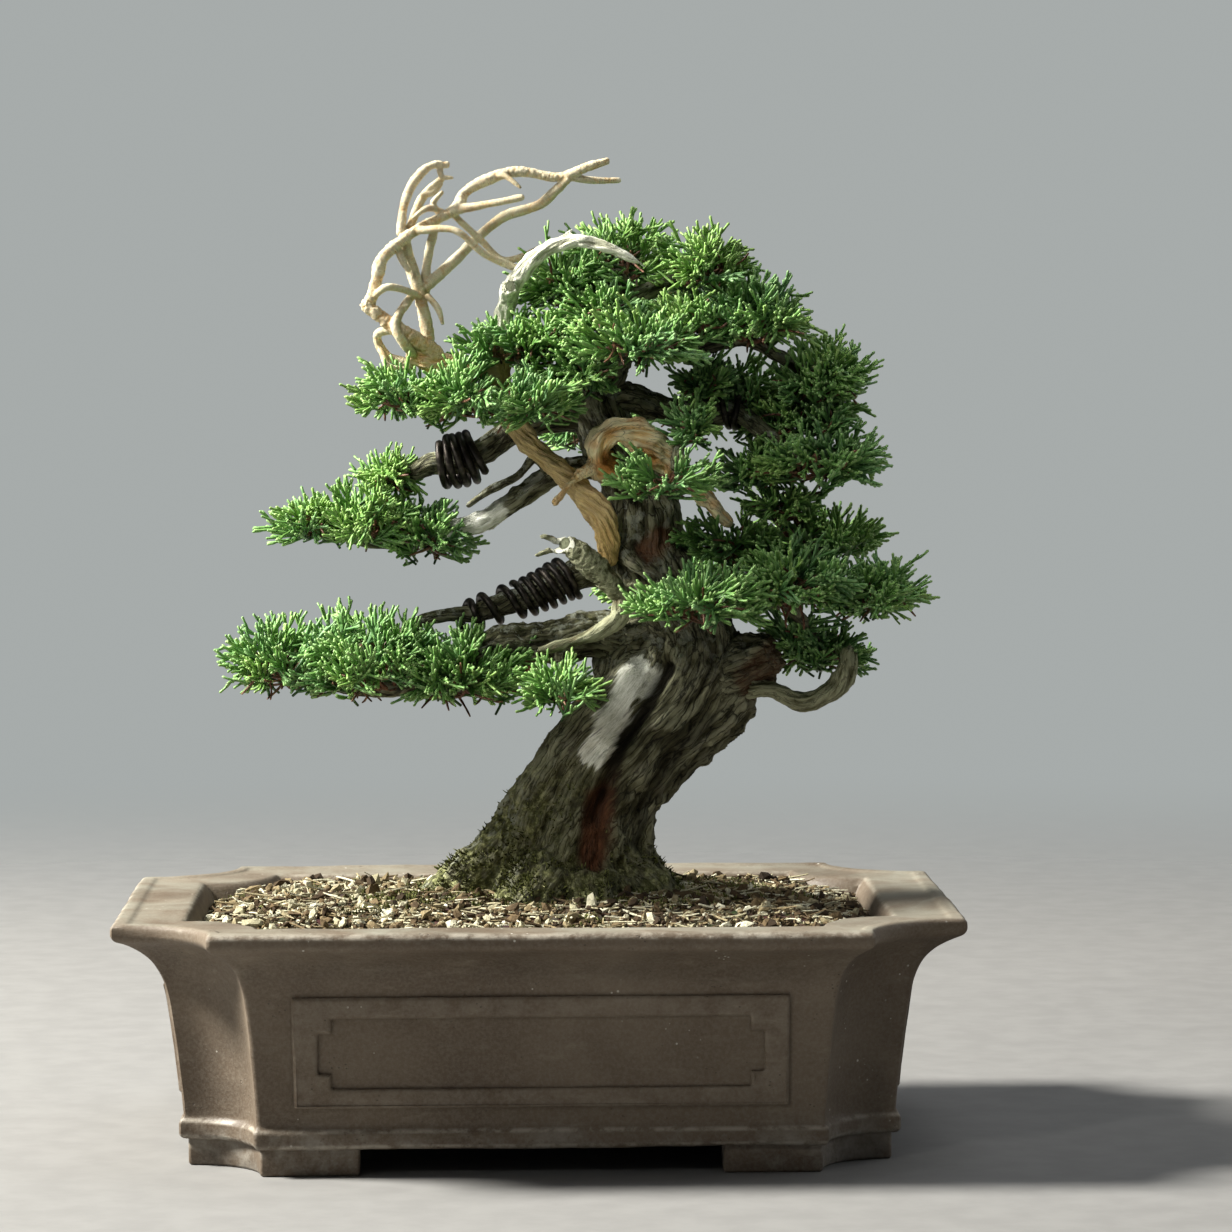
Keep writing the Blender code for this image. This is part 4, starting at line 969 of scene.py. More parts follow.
def metal(name, colour, edge, roughness, metallic):
    s = Shader(name)
    scuff = s.noise(420.0, 4.0, 0.6)
    fine = s.noise(1900.0, 2.0, 0.5)
    shade = s.mix(s.band(scuff, 0.42, 0.72), colour, edge)
    rough = s.spread(scuff, roughness - 0.1, roughness + 0.12)
    return s.finish(shade, rough, [(fine, 0.08, 0.4)], Metallic=metallic)


def plastic():
    s = Shader("screen_plastic")
    weave = s.noise(800.0, 3.0, 0.5)
    shade = s.mix(s.band(weave, 0.4, 0.7), (0.012, 0.012, 0.012), (0.030, 0.030, 0.028))
    return s.finish(shade, 0.55, [(weave, 0.15, 0.4)])


def pumice():
    s = Shader("pumice")
    lumps = s.cells(230.0)
    pores = s.noise(900.0, 4.0, 0.7)
    shade = s.ramp(s.cells(230.0, "Color"), [(0.2, (0.30, 0.24, 0.17)), (0.5, (0.44, 0.37, 0.27)),
                                             (0.8, (0.56, 0.50, 0.40))])
    shade = s.mix(s.band(lumps, 0.35, 0.65), shade, (0.10, 0.08, 0.055))
    shade = s.tint(shade, (0.13, 0.10, 0.07), s.band(pores, 0.45, 0.7), 0.5)
    return s.finish(shade, 0.95, [(lumps, -1.6, 0.8), (pores, 0.4, 0.6)])


BARK = wood("bark", (0.014, 0.012, 0.006), (0.094, 0.090, 0.046), (0.350, 0.350, 0.225))
GREY_WOOD = wood("deadwood_grey", (0.120, 0.110, 0.060), (0.470, 0.480, 0.330), (0.88, 0.90, 0.74),
                 bark=False, orange=(0.80, 0.51, 0.205))
GREEN_WOOD = wood("deadwood_green", (0.035, 0.032, 0.012), (0.150, 0.150, 0.074), (0.420, 0.430, 0.270),
                  bark=False)
TAN_WOOD = wood("deadwood_tan", (0.330, 0.140, 0.036), (0.900, 0.630, 0.300), (1.0, 0.920, 0.660),
                bark=False, orange=(0.46, 0.19, 0.050))
# A brighter, more golden copy of the tan wood: painted light that offsets the shade the pads above cast on
# the centre snag.
LIT_TAN_WOOD = wood("deadwood_tan_lit", (0.300, 0.120, 0.030), (0.940, 0.640, 0.270), (1.0, 0.880, 0.560),
                 bark=False, orange=(0.60, 0.27, 0.065))
FOLIAGE = foliage()
MOSS = moss()
DARK_WIRE = metal("dark_wire", (0.020, 0.017, 0.015), (0.085, 0.072, 0.058), 0.42, 0.75)


# --- pot ---------------------------------------------------------------------
def rounded(corners, closed):
    """Replace each (x, y, radius) corner by a short arc."""
    points = []
    count = len(corners)
    for i, (x, y, radius) in enumerate(corners):
        here = np.array([x, y], dtype=float)
        if radius == 0 or (not closed and i in (0, count - 1)):
            points.append(here)
            continue
        before = np.array(corners[(i - 1) % count][:2], dtype=float)
        after = np.array(corners[(i + 1) % count][:2], dtype=float)
        back = before - here
        ahead = after - here
        reach_back = min(radius, 0.45 * np.linalg.norm(back))
        reach_ahead = min(radius, 0.45 * np.linalg.norm(ahead))
        start = here + unit(back) * reach_back
        end = here + unit(ahead) * reach_ahead
        for t in (0.0, 0.25, 0.5, 0.75, 1.0):
            points.append(bezier(t, start, here, end))
    return np.array(points)


def outline(inset, soft=CORNER_ROUND, spacing=3.0):
    """Rectangle with concave quarter-circle corners; the same point count at every inset."""
    notch = max(NOTCH_RADIUS - NOTCH_TAPER * inset, 2.0)
    soft = min(soft, 0.3 * notch)
    half_x = POT_WIDTH / 2 - inset
    half_y = POT_DEPTH / 2 - inset
    arcs = []
    for side_x, side_y, start in [(1, -1, 180), (1, 1, 270), (-1, 1, 0), (-1, -1, 90)]:
        angles = np.radians(start - 90 * np.arange(NOTCH_STEPS + 1) / NOTCH_STEPS)
        arcs.append(np.column_stack([side_x * half_x + notch * np.cos(angles),
                                     side_y * half_y + notch * np.sin(angles)]))
    ring = []
    for i, arc in enumerate(arcs):
        before, following = arcs[i - 1], arcs[(i + 1) % 4]
        first, last = arc[0], arc[-1]
        arrive = first + unit(before[-1] - first) * soft
        leave = unit(following[0] - last) * soft
        ring.extend(bezier(t, arrive, first, first + unit(arc[1] - first) * soft) for t in (0.0, 0.33, 0.67))
        ring.extend(arc[1:-1])
        turn_out = last + unit(arc[-2] - last) * soft
        ring.extend(bezier(t, turn_out, last, last + leave) for t in (0.33, 0.67, 1.0))
        line_start, line_end = last + leave, following[0] - leave
        steps = int((POT_DEPTH if i % 2 == 0 else POT_WIDTH) / spacing)
        ring.extend(line_start + (line_end - line_start) * step / steps for step in range(1, steps))
    return np.array(ring)


def fine_profile(longest=2.6):
    profile = rounded(POT_PROFILE, closed=False)
    dense = [profile[0]]
    for point in profile[1:]:
        gap = point - dense[-1]
        steps = max(1, int(np.linalg.norm(gap) / longest))
        start = dense[-1]
        dense.extend(start + gap * step / steps for step in range(1, steps + 1))
    return np.array(dense)


def wall_inset(height):
    wall = [(inset, z) for inset, z, _ in POT_PROFILE[4:11]]
    return np.interp(height, [z for _, z in wall], [inset for inset, _ in wall])


def panel_frame(width, turn):
    """Raised moulding with a stepped inner field that follows the wall."""
    height = PANEL_TOP - PANEL_BOTTOM
    step_x, step_y = PANEL_STEP
    inner_x = width / 2 - PANEL_BORDER
    inner_y = height / 2 - PANEL_BORDER + 1.4
    outer = [(-width / 2, -height / 2), (width / 2, -height / 2),
             (width / 2, height / 2), (-width / 2, height / 2)]
    inner = []
    for side_x, side_y in [(1, -1), (1, 1), (-1, 1), (-1, -1)]:
        notch = [(side_x * (inner_x - step_x), side_y * inner_y),
                 (side_x * (inner_x - step_x), side_y * (inner_y - step_y)),
                 (side_x * inner_x, side_y * (inner_y - step_y))]
        inner += notch if side_x * side_y < 0 else notch[::-1]
    curve = bpy.data.curves.new("panel", "CURVE")
    curve.dimensions = "2D"
    curve.fill_mode = "BOTH"
    curve.extrude = (PANEL_RELIEF - PANEL_EDGE) * MM
    curve.bevel_depth = PANEL_EDGE * MM
    curve.bevel_resolution = 2
    curve.offset = -PANEL_EDGE * MM
    for corners in (outer, inner):
        shape = rounded([(x, y, PANEL_ROUND) for x, y in corners], closed=True)
        spline = curve.splines.new("POLY")
        spline.points.add(len(shape) - 1)
        for point, (x, y) in zip(spline.points, shape):
            point.co = (x * MM, y * MM, 0.0, 1.0)
        spline.use_cyclic_u = True
    source = show("panel", curve)
    depsgraph = bpy.context.evaluated_depsgraph_get()
    mesh = bpy.data.meshes.new_from_object(source.evaluated_get(depsgraph))
    bpy.data.objects.remove(source, do_unlink=True)
    bm = bmesh.new()
    bm.from_mesh(mesh)
    bmesh.ops.remove_doubles(bm, verts=bm.verts, dist=0.002 * MM)
    for level in np.arange(-height / 2 + 2, height / 2, PANEL_CUTS):
        bmesh.ops.bisect_plane(bm, geom=bm.verts[:] + bm.edges[:] + bm.faces[:], dist=0.0001 * MM,
                               plane_co=(0, level * MM, 0), plane_no=(0, 1, 0))
    bmesh.ops.recalc_face_normals(bm, faces=bm.faces)
    bm.to_mesh(mesh)
    bm.free()
    mesh.materials.clear()
    flat = read_points(mesh)
    half = (POT_DEPTH if turn % 180 == 0 else POT_WIDTH) / 2
    z = flat[:, 1] + (PANEL_TOP + PANEL_BOTTOM) / 2
    out = half - wall_inset(z) + flat[:, 2]
    write_points(mesh, np.column_stack([flat[:, 0], -out, z]))
    mesh.transform(Matrix.Rotation(math.radians(turn), 4, "Z"))
    return show("panel", mesh)


def foot(side_x, side_y):
    """One bracket foot: the pot's notched corner with its inner side cut back."""
    notch = NOTCH_RADIUS - NOTCH_TAPER * FOOT_INSET
    out_x, out_y = POT_WIDTH / 2 - FOOT_INSET, POT_DEPTH / 2 - FOOT_INSET
    in_x, in_y = out_x - FOOT_THICKNESS, out_y - FOOT_THICKNESS
    gap_x, gap_y = FOOT_GAP_FRONT / 2, FOOT_GAP_SIDE / 2
    angles = np.radians(180 - 90 * np.arange(NOTCH_STEPS + 1) / NOTCH_STEPS)
    outer_arc = [(out_x + notch * math.cos(a), out_y - notch * math.sin(a)) for a in angles]
    inner_arc = [(in_x + notch * math.cos(a), in_y - notch * math.sin(a)) for a in angles]
    shape = [(gap_x, out_y), *outer_arc, (out_x, gap_y), (in_x, gap_y), *inner_arc[::-1], (gap_x, in_y)]
    points = np.array([(side_x * x, side_y * y) for x, y in shape])
    if side_x * side_y > 0:
        points = points[::-1]
    piece = prism("foot", points, 0.0, FOOT_HEIGHT + FOOT_SINK)
    bevel = piece.modifiers.new("bevel", "BEVEL")
    bevel.width = FOOT_BEVEL * MM
    bevel.segments = 3
    bevel.limit_method = "ANGLE"
    bevel.angle_limit = math.radians(40)
    bm = bmesh.new()
    bm.from_mesh(piece.data)
    bmesh.ops.recalc_face_normals(bm, faces=bm.faces)
    bm.to_mesh(piece.data)
    bm.free()
    evaluated(piece)
    return piece


def cut_hole(pot, x, radius, sides):
    """A round hole through the pot's floor."""
    cosines, sines = circle(sides)
    cutter = prism("cutter", np.column_stack([x + radius * cosines, radius * sines]), 2.0, 30.0)
    cut = pot.modifiers.new("hole", "BOOLEAN")
    cut.operation = "DIFFERENCE"
    cut.solver = "MANIFOLD"
    cut.object = cutter
    evaluated(pot)
    bpy.data.objects.remove(cutter, do_unlink=True)


def make_pot():
    pot = stacked_rings("pot_body", [at_height(outline(inset), z) for inset, z in fine_profile()])
    for x, radius, sides in [(DRAIN_HOLE_X, DRAIN_HOLE_RADIUS, 40), (WIRE_HOLE_X, WIRE_HOLE_RADIUS, 16)]:
        for side in (-1, 1):
            cut_hole(pot, side * x, radius, sides)
    pieces = [pot]
    side_notch = 2 * (NOTCH_RADIUS - NOTCH_TAPER * 20)
    for turn in (0, 90, 180, 270):
        width = (POT_WIDTH if turn % 180 == 0 else POT_DEPTH) - 40 - side_notch - 2 * PANEL_MARGIN
        pieces.append(panel_frame(width, turn))
    pieces += [foot(side_x, side_y) for side_x in (-1, 1) for side_y in (-1, 1)]
    pot = join("stoneware_pot", pieces)
    mesh = pot.data
    points = read_points(mesh)
    normals = read_normals(mesh)
    x, y, z = points.T
    wobble = 0.28 * fractal(points / 26.0, 3, 5) + 0.07 * fractal(points / 5.0, 2, 9)
    floor_hold = smoothstep(0.0, 3.0, z)
    points = points + normals * (wobble * floor_hold)[:, None]
    points[:, 2] += 0.22 * fractal(np.column_stack([x / 50, y / 50, z * 0]), 2, 3) * smoothstep(60, 80, z)
    write_points(mesh, points)
    depth = np.minimum(POT_WIDTH / 2 - np.abs(x), POT_DEPTH / 2 - np.abs(y))
    # Where the paler edge colour goes: partly wear, partly painted highlight.
    rim_edge = np.exp(-((z - 80.6) / 1.1) ** 2) * np.exp(-(np.maximum(depth - 2.5, 0) / 1.2) ** 2)
    band_edge = np.exp(-((z - 10.0) / 0.9) ** 2) + np.exp(-((z - 15.0) / 0.9) ** 2)
    inner_edge = np.exp(-((z - 80.3) / 1.0) ** 2) * np.exp(-((depth - 23.2) / 1.2) ** 2)
    outward = depth - wall_inset(np.clip(z, 16, 62))
    on_panel = (z > 20) & (z < 61) & (outward < -0.75)
    edge = np.clip(rim_edge + 0.8 * band_edge + 0.6 * inner_edge + 0.35 * on_panel, 0, 1)
    store(mesh, "edge", edge)
    store(mesh, "rim_top", smoothstep(0.6, 0.95, normals[:, 2]) * (z > 78))
    store(mesh, "foot_stain", smoothstep(20.0, 9.0, z))
    # Painted shade, stored as hollow: under the rim's overhang, inside the pot and beneath its floor between
    # the feet.
    under_rim = smoothstep(60, 70, z) * smoothstep(76.5, 74.5, z) * (depth < 24)
    inside = (depth > 24.5) & (z > 18)
    store(mesh, "hollow", np.clip(0.5 * under_rim + 0.3 * inside + 1.0 * (z < 8.0) * (depth > 25), 0, 1))
    soften(mesh, 35)
    return place(pot, stoneware(), "stoneware", "pot")


# --- tree --------------------------------------------------------------------
def root_lines():
    lines = {}
    for name, (bearing, reach, radius) in ROOTS.items():
        angle = math.radians(bearing)
        lines[name] = [(TRUNK_X + share * reach * math.cos(angle),
                        share * reach * math.sin(angle), height, radius * thickness)
                       for share, height, thickness in ROOT_SHAPE]
    return lines


def scar(points, name, wander=0.0):
    """How strongly one of the trunk's marks shows at each point, 0 to 1."""
    line, start, full = SCARS[name]
    return smoothstep(start, full, distance_to_line(points, line) + wander)


def carve_trunk(points, normals, grain):
    """How far in the scars cut, and the marks that colour the bark, read off the photograph."""
    front = smoothstep(0.35, -0.15, normals[:, 1])
    z = points[:, 2]
    bare = scar(points, "bare", 2.0 * noise(grain / np.array([1.2, 1.2, 9.0]), 61)) * front
    furrow = scar(points, "furrow", 0.7 * noise(points / 3.5, 66)) * front * smoothstep(104, 118, z)
    cavity = scar(points, "cavity", 0.8 * noise(points / 3.0, 62)) * front
    broken = scar(points, "broken", 1.2 * noise(points / 3.0, 63)) * front
    pit = scar(points, "pit", noise(points / 2.5, 64)) * front
    second = scar(points, "second") * front * 0.5
    depth = -5.4 * furrow - 4.4 * cavity - 1.6 * pit - 1.4 * second + 0.5 * bare
    depth += 1.1 * broken * np.abs(noise(grain / np.array([2.0, 2.0, 9.0]), 65)) * 2 - 0.9 * broken
    flank = smoothstep(10, -14, points[:, 0] - 0.85 * (z - 100)) * smoothstep(138, 104, z)
    upward = smoothstep(0.2, 0.8, normals[:, 2]) * smoothstep(190, 150, z)
    moss_mask = np.clip(flank + smoothstep(112, 84, z) * 0.8 + 0.25 * upward, 0, 1)
    # Lichens high on the trunk; on the left-facing side of the mossy flank the pale crust is painted light.
    lichen_and_light = 0.5 * smoothstep(150, 175, z) + 0.6 * flank * smoothstep(-0.1, -0.7, normals[:, 0])
    rust = cavity * 1.1 + broken * 0.55 + pit * 0.85 + 0.3 * furrow * smoothstep(136, 118, z)
    streaks = smoothstep(-0.2, 0.5, noise(grain / np.array([1.1, 1.1, 8.0]), 67))
    # Painted shade: near-black where the furrows, the second furrow and the cavity cut deepest.
    painted_deep_shade = (0.72 * smoothstep(0.35, 0.9, furrow) * smoothstep(120, 132, z) + 0.6 * cavity * streaks
            + 0.55 * smoothstep(0.3, 0.9, second * 2) + 0.3 * smoothstep(0.5, 1.0, furrow))
    return depth, {
        "bare": bare, "moss": moss_mask * (1 - np.maximum(cavity, bare)), "lichen_and_light": lichen_and_light,
        "rust": np.clip(rust, 0, 1), "painted_deep_shade": np.clip(painted_deep_shade, 0, 0.85)}


def make_trunk():
    limbs = Limbs([*TRUNK_STRANDS.values(), *root_lines().values()])
    paths = [uneven(path, 0.07, 11 + i) for i, path in enumerate(limbs.paths)]
    trunk = rods_mesh("trunk_bark", paths, 28)
    voxel_remesh(trunk, 1.6)
    smooth = trunk.modifiers.new("smooth", "SMOOTH")
    smooth.factor = 0.5
    smooth.iterations = 6
    evaluated(trunk)
    mesh = voxel_remesh(trunk, TRUNK_VOXEL)
    points = read_points(mesh)
    normals = read_normals(mesh)
    grain, best = limbs.locate(points)
    swirl = stirred(grain, points, 1.1, 14.0, 21)
    lumps = fractal(points / 15.0, 3, 23)
    plates = ridges(swirl, 5.0, 26.0, 24, 2)
    fibres = ridges(swirl, 1.9, 13.0, 25, 3)
    crumbs = fractal(swirl / np.array([1.1, 1.1, 2.4]), 3, 26)
    depth, marks = carve_trunk(points, normals, grain)
    calm = 1 - 0.75 * marks["bare"]
    thin = np.clip(limbs.radius[best] / 9.0, 0.25, 1.0)
    rise = thin * (1.15 * lumps + calm * (0.95 * plates + 0.85 * fibres + 0.60 * crumbs))
    rise += depth * thin ** 0.3
    rise += 0.8 * marks["moss"] * np.abs(fractal(points / 2.2, 3, 27))
    under = smoothstep(0.15, 0.75, 0.8 * normals[:, 0] - 0.6 * normals[:, 2])
    under *= smoothstep(96, 110, points[:, 2])
    rise += 1.7 * under * np.maximum(noise(swirl / np.array([1.5, 1.5, 3.6]), 28), -0.1)
    rise = relax(mesh, rise, 1)
    write_points(mesh, points + normals * rise[:, None])
    relief = smoothstep(-1.0, 1.3, relax(mesh, plates * 0.8 + fibres * 0.8 + crumbs * 0.4, 1))
    store(mesh, "grain", swirl)
    store(mesh, "relief", relief * (1 - 0.75 * smoothstep(1.5, 4.0, -depth)))
    for key, values in marks.items():
        store(mesh, key, relax(mesh, values, 1))
    return place(trunk, BARK, "bark", "trunk")


def make_branches():
    owners = [(name, key) for name, group in BRANCHES.items() for key in group]
    limbs = Limbs([BRANCHES[name][key] for name, key in owners])
    paths = [uneven(path, 0.10, 41 + i) for i, path in enumerate(limbs.paths)]
    branches = rods_mesh("branch_bark", paths, 18)
    mesh = voxel_remesh(branches, BRANCH_VOXEL)
    points = read_points(mesh)
    normals = read_normals(mesh)
    grain, best = limbs.locate(points)
    number = limbs.number[best].astype(int)
    swirl = stirred(grain, points, 0.9, 7.0, 31)
    thin = np.clip(limbs.radius[best] / 6.0, 0.22, 1.0)
    lumps = fractal(points / 6.5, 3, 33)
    fibres = ridges(swirl, 1.9, 9.0, 34, 3)
    crumbs = fractal(swirl / np.array([1.1, 1.1, 2.2]), 3, 36)
    wired = np.array([name in ("branch_coiled", "branch_low_left_wired") for name, _ in owners])[number]
    x, _, z = points.T
    under_wire = wired | ((x > 55) & (x < 72) & (z > 236) & (z < 254))
    rise = thin * np.where(under_wire, 0.55, 1.0) * (0.95 * lumps + 0.85 * fibres + 0.42 * crumbs)
    rise = np.minimum(relax(mesh, rise, 1), np.where(under_wire, 0.45, 9.0))
    write_points(mesh, points + normals * rise[:, None])
    store(mesh, "grain", swirl)
    store(mesh, "relief", smoothstep(-1.0, 1.3, relax(mesh, fibres + 0.5 * crumbs + 0.3 * lumps, 1)))
    splinter = np.array([key == "splinter" for _, key in owners])[number]
    pale = distance_to_line(points, [(-14, 212), (-24, 207), (-30, 205)])
    pale = smoothstep(7.0, 3.0, pale) * (np.abs(points[:, 1] - 6) < 8)
    under = distance_to_line(points, [(-32, 143.5), (-14, 144.5)])
    rust = np.clip(splinter * smoothstep(165, 162, z) + smoothstep(3, 1.5, under), 0, 1)
    store(mesh, "bare", relax(mesh, 0.75 * pale, 1))
    store(mesh, "moss", 0.25 * smoothstep(0.1, 0.8, normals[:, 2]))
    # Pale crust on the branches' upper faces: partly lichens, partly painted light.
    store(mesh, "lichen_and_light", smoothstep(-0.3, 0.5, normals[:, 2]) * 0.8)
    store(mesh, "rust", relax(mesh, rust, 1))
    return place(branches, BARK, "bark", *BRANCHES)


def make_deadwood(name, node, group, voxel, shader, slot, strength, growth, rust_rule, seed, cuts=()):
    """Bare wood: fibres, splits, ends that fray, and flat saw cuts (end, facing, radius)."""
    limbs = Limbs(list(group.values()), 9)
    paths = [uneven(path, 0.12, seed + i) for i, path in enumerate(limbs.paths)]
    piece = rods_mesh(name, paths, 16)
    mesh = voxel_remesh(piece, voxel)
    points = read_points(mesh)
    normals = read_normals(mesh)
    grain, best = limbs.locate(points)
    swirl = grain.copy()
    turn = grain[:, 2] * 0.06
    swirl[:, 0] = grain[:, 0] * np.cos(turn) - grain[:, 1] * np.sin(turn)
    swirl[:, 1] = grain[:, 0] * np.sin(turn) + grain[:, 1] * np.cos(turn)
    thin = np.clip(limbs.radius[best] / 3.5, 0.2, 1.3)
    knots = fractal(points / 5.0, 2, seed + 2)
    fibres = ridges(swirl, 1.0 + 0.5 * strength, 11.0, seed + 3, 3)
    fine = fractal(swirl / np.array([0.55, 0.55, 3.0]), 2, seed + 4)
    frayed = smoothstep(0.90, 1.0, limbs.share[best])
    splits = noise(grain * np.array([1, 1, 0]) / 0.8, seed + 5)
    rise = thin * strength * (0.62 * knots + 0.42 * fibres + 0.22 * fine) + growth
    rise += frayed * 0.35 * thin * np.where(splits > 0.1, 1.0, -1.0)
    rise = relax(mesh, rise, 1)
    carved = points + normals * rise[:, None]
    sawn = np.zeros(len(points))
    for end, facing, radius in cuts:
        facing = unit(np.array(facing))
        offset = carved - np.array(end)
        beyond = offset @ facing
        off_axis = np.linalg.norm(offset - beyond[:, None] * facing, axis=1)
        flat = (beyond > -0.15) & (off_axis < 1.8 * radius) & (beyond < 2.5 * radius)
        carved -= np.where(flat, np.maximum(beyond, 0.0), 0.0)[:, None] * facing
        sawn = np.where(flat, np.clip(1.35 - off_axis / radius, 0.25, 1.0), sawn)
    write_points(mesh, carved)
    store(mesh, "sawn", sawn)
    store(mesh, "grain", swirl * 1.6)
    store(mesh, "relief", smoothstep(-1.0, 1.2, relax(mesh, fibres + 0.4 * knots, 1)))
    store(mesh, "rust", relax(mesh, rust_rule(points, limbs.number[best]), 2))
    return place(piece, shader, slot, node)


def leader_rust(points, _):
    low = smoothstep(276, 266, points[:, 2] + 3 * noise(points / 5.0, 71))
    return low * (0.82 + 0.18 * smoothstep(212, 204, points[:, 2]))


def crown_rust(points, number):
    ramp = np.isin(number, (0, 1)) * 0.45 * smoothstep(292, 268, points[:, 2])
    return np.clip(ramp + 0.4 * smoothstep(0.55, 0.9, noise(points / 3.5, 72)), 0, 1)


def centre_rust(points, _):
    hollow = distance_to_line(points, [(24, 229), (36, 230)])
    patches = smoothstep(0.2, 0.7, noise(points / 4.0, 73))
    return np.clip(smoothstep(6, 3, hollow) * 0.9 + 0.5 * patches, 0, 1)


def long_rust(points, _):
    return 0.3 * smoothstep(0.4, 0.8, noise(points / 3.0, 74))


def right_rust(points, _):
    return 0.35 * smoothstep(74, 66, points[:, 0])


def make_all_deadwood():
    make_deadwood("grey_leader", "deadwood_leader", SPINE_STRANDS, 0.46, GREY_WOOD, "deadwood_grey",
                  1.15, -0.55, leader_rust, 101, [((-8.5, -12.5, 289.2), (0.05, -0.93, 0.35), 2.6)])
    make_deadwood("tan_crown", "deadwood_crown", CROWN_STRANDS, 0.36, TAN_WOOD, "deadwood_tan",
                  1.0, 0.20, crown_rust, 121)
    # The centre snag takes the brighter copy of the tan wood, as painted light.
    make_deadwood("centre_snag", "deadwood_centre", CENTRE_JIN_STRANDS, 0.44, LIT_TAN_WOOD, "deadwood_tan",
                  1.6, -0.30, centre_rust, 141)
    make_deadwood("long_snag", "deadwood_low_left", LONG_JIN_STRANDS, 0.40, GREEN_WOOD, "deadwood_grey",
                  1.0, 0.0, long_rust, 161, [((9.6, -13.5, 202.6), (-0.55, -0.70, 0.45), 2.6)])
    make_deadwood("right_snag", "deadwood_low_right", RIGHT_JIN_STRANDS, 0.40, GREEN_WOOD,
                  "deadwood_grey", 1.2, -0.2, right_rust, 181)


def helix(branch, start, end, turns, clearance, radius, first_angle, per_turn=28):
    """Wire wound round a limb: points on a coil that follows its centre line."""
    limb = smooth_path(BRANCHES[branch]["limb"], 8)
    steps = int(turns * per_turn)
    shares = np.linspace(start, end, steps + 1) * (len(limb) - 1)
    index = np.arange(len(limb))
    centres = np.stack([np.interp(shares, index, limb[:, axis]) for axis in range(3)], axis=1)
    thickness = np.interp(shares, index, limb[:, 3])
    widest = np.maximum.accumulate(thickness[::-1])[::-1]
    tangents = unit(np.gradient(centres, axis=0))
    side = unit(np.cross(tangents, (0.0, 1.0, 0.0)))
    other = np.cross(tangents, side)
    angles = math.radians(first_angle) + np.linspace(0, 2 * math.pi * turns, steps + 1)
    loose = 0.35 * noise(np.column_stack([angles / 1.9, 0 * angles, 0 * angles]), int(first_angle) + 7)
    reach = (widest + radius + clearance + np.maximum(loose, -0.2))[:, None]
    coil = centres + reach * (np.cos(angles)[:, None] * side + np.sin(angles)[:, None] * other)
    return np.column_stack([coil, np.full(len(coil), radius)])


def make_wires():
    for name, spec in WIRES.items():
        piece = rods_mesh(name + "_wire", [helix(*spec)], 12)
        soften(piece.data, 60)
        place(piece, DARK_WIRE, "dark_wire", name)


# --- foliage -----------------------------------------------------------------
def bent_rods(start, middle, end, first_radius, last_radius, rings, sides, beads=0.0):
    """Closed curved rods, one for each row; beads swells them into scales."""
    count = len(start)
    t = np.linspace(0, 1, rings)[None, :, None]
    a, b, c = start[:, None], middle[:, None], end[:, None]
    centres = bezier(t, a, b, c)
    tangents = unit(2 * (1 - t) * (b - a) + 2 * t * (c - b) + 1e-6)
    flat = np.abs(tangents[:, :1, 2:3]) < 0.8
    helper = np.where(flat, np.array([0.0, 0.0, 1.0]), np.array([1.0, 0.0, 0.0]))
    side = unit(np.cross(tangents, np.broadcast_to(helper, tangents.shape)))
    other = np.cross(tangents, side)
    radii = first_radius[:, None] + (last_radius - first_radius)[:, None] * t[..., 0]
    swell = 1 + beads * np.where(np.arange(rings) % 2 == 0, -1.0, 1.0)
    swell[0] = 1.0
    radii = radii * swell[None]
    cosines, sines = circle(sides)
    around = (cosines[None, None, :, None] * side[:, :, None]
              + sines[None, None, :, None] * other[:, :, None])
    rings_points = centres[:, :, None] + radii[:, :, None, None] * around
    tips = end + tangents[:, -1] * last_radius[:, None] * 1.1
    butts = start - tangents[:, 0] * first_radius[:, None] * 0.3
    per = rings * sides + 2
    points = np.concatenate([rings_points.reshape(count, -1, 3), tips[:, None], butts[:, None]], axis=1)
    index, quads = ring_faces(rings, sides)
    top = np.stack([index[-1], np.roll(index[-1], -1), np.full(sides, rings * sides)], axis=1)
    bottom = np.stack([np.roll(index[0], -1), index[0], np.full(sides, rings * sides + 1)], axis=1)
    shift = (np.arange(count) * per)[:, None, None]
    quads = (quads[None] + shift).reshape(-1, 4)
    ends = (np.vstack([top, bottom])[None] + shift).reshape(-1, 3)
    along = np.concatenate([np.repeat(np.linspace(0, 1, rings), sides), [1.0, 0.0]])
    return points.reshape(-1, 3), quads, ends, np.tile(along, count), per


class Rods:
    """Collects many small rods with their colours, then makes one mesh."""

    def __init__(self):
        self.batches = {}

    def add(self, kind, *row):
        """A row is start, middle, end, first and last radius, tone, tip at each end, woodiness."""
        self.batches.setdefault(kind, []).append(row)

    def mesh(self, name):
        verts, quads, tris, tips, tones, woods = [], [], [], [], [], []
        first = 0
        for kind, rows in self.batches.items():
            *curve, tone, low, high, woody = [np.array(column, dtype=float) for column in zip(*rows)]
            points, four, three, along, per = bent_rods(*curve, *ROD_SHAPES[kind])
            verts.append(points)
            quads.append(four + first)
            tris.append(three + first)
            tips.append(np.repeat(low, per) + along * np.repeat(high - low, per))
            tones.append(np.repeat(tone, per))
            woods.append(np.repeat(woody, per))
            first += len(points)
        obj = new_mesh(name, np.vstack(verts), [np.vstack(quads), np.vstack(tris)])
        for key, parts in (("tip", tips), ("tone", tones), ("woody", woods)):
            store(obj.data, key, np.concatenate(parts))
        return obj


ROD_SHAPES = {                # kind: (rings, sides, bead depth)
    "twig": (7, 5, 0.10),
    "stem": (8, 5, 0.06),
    "lateral": (6, 4, 0.10),
    "finger": (4, 4, 0.12),
}


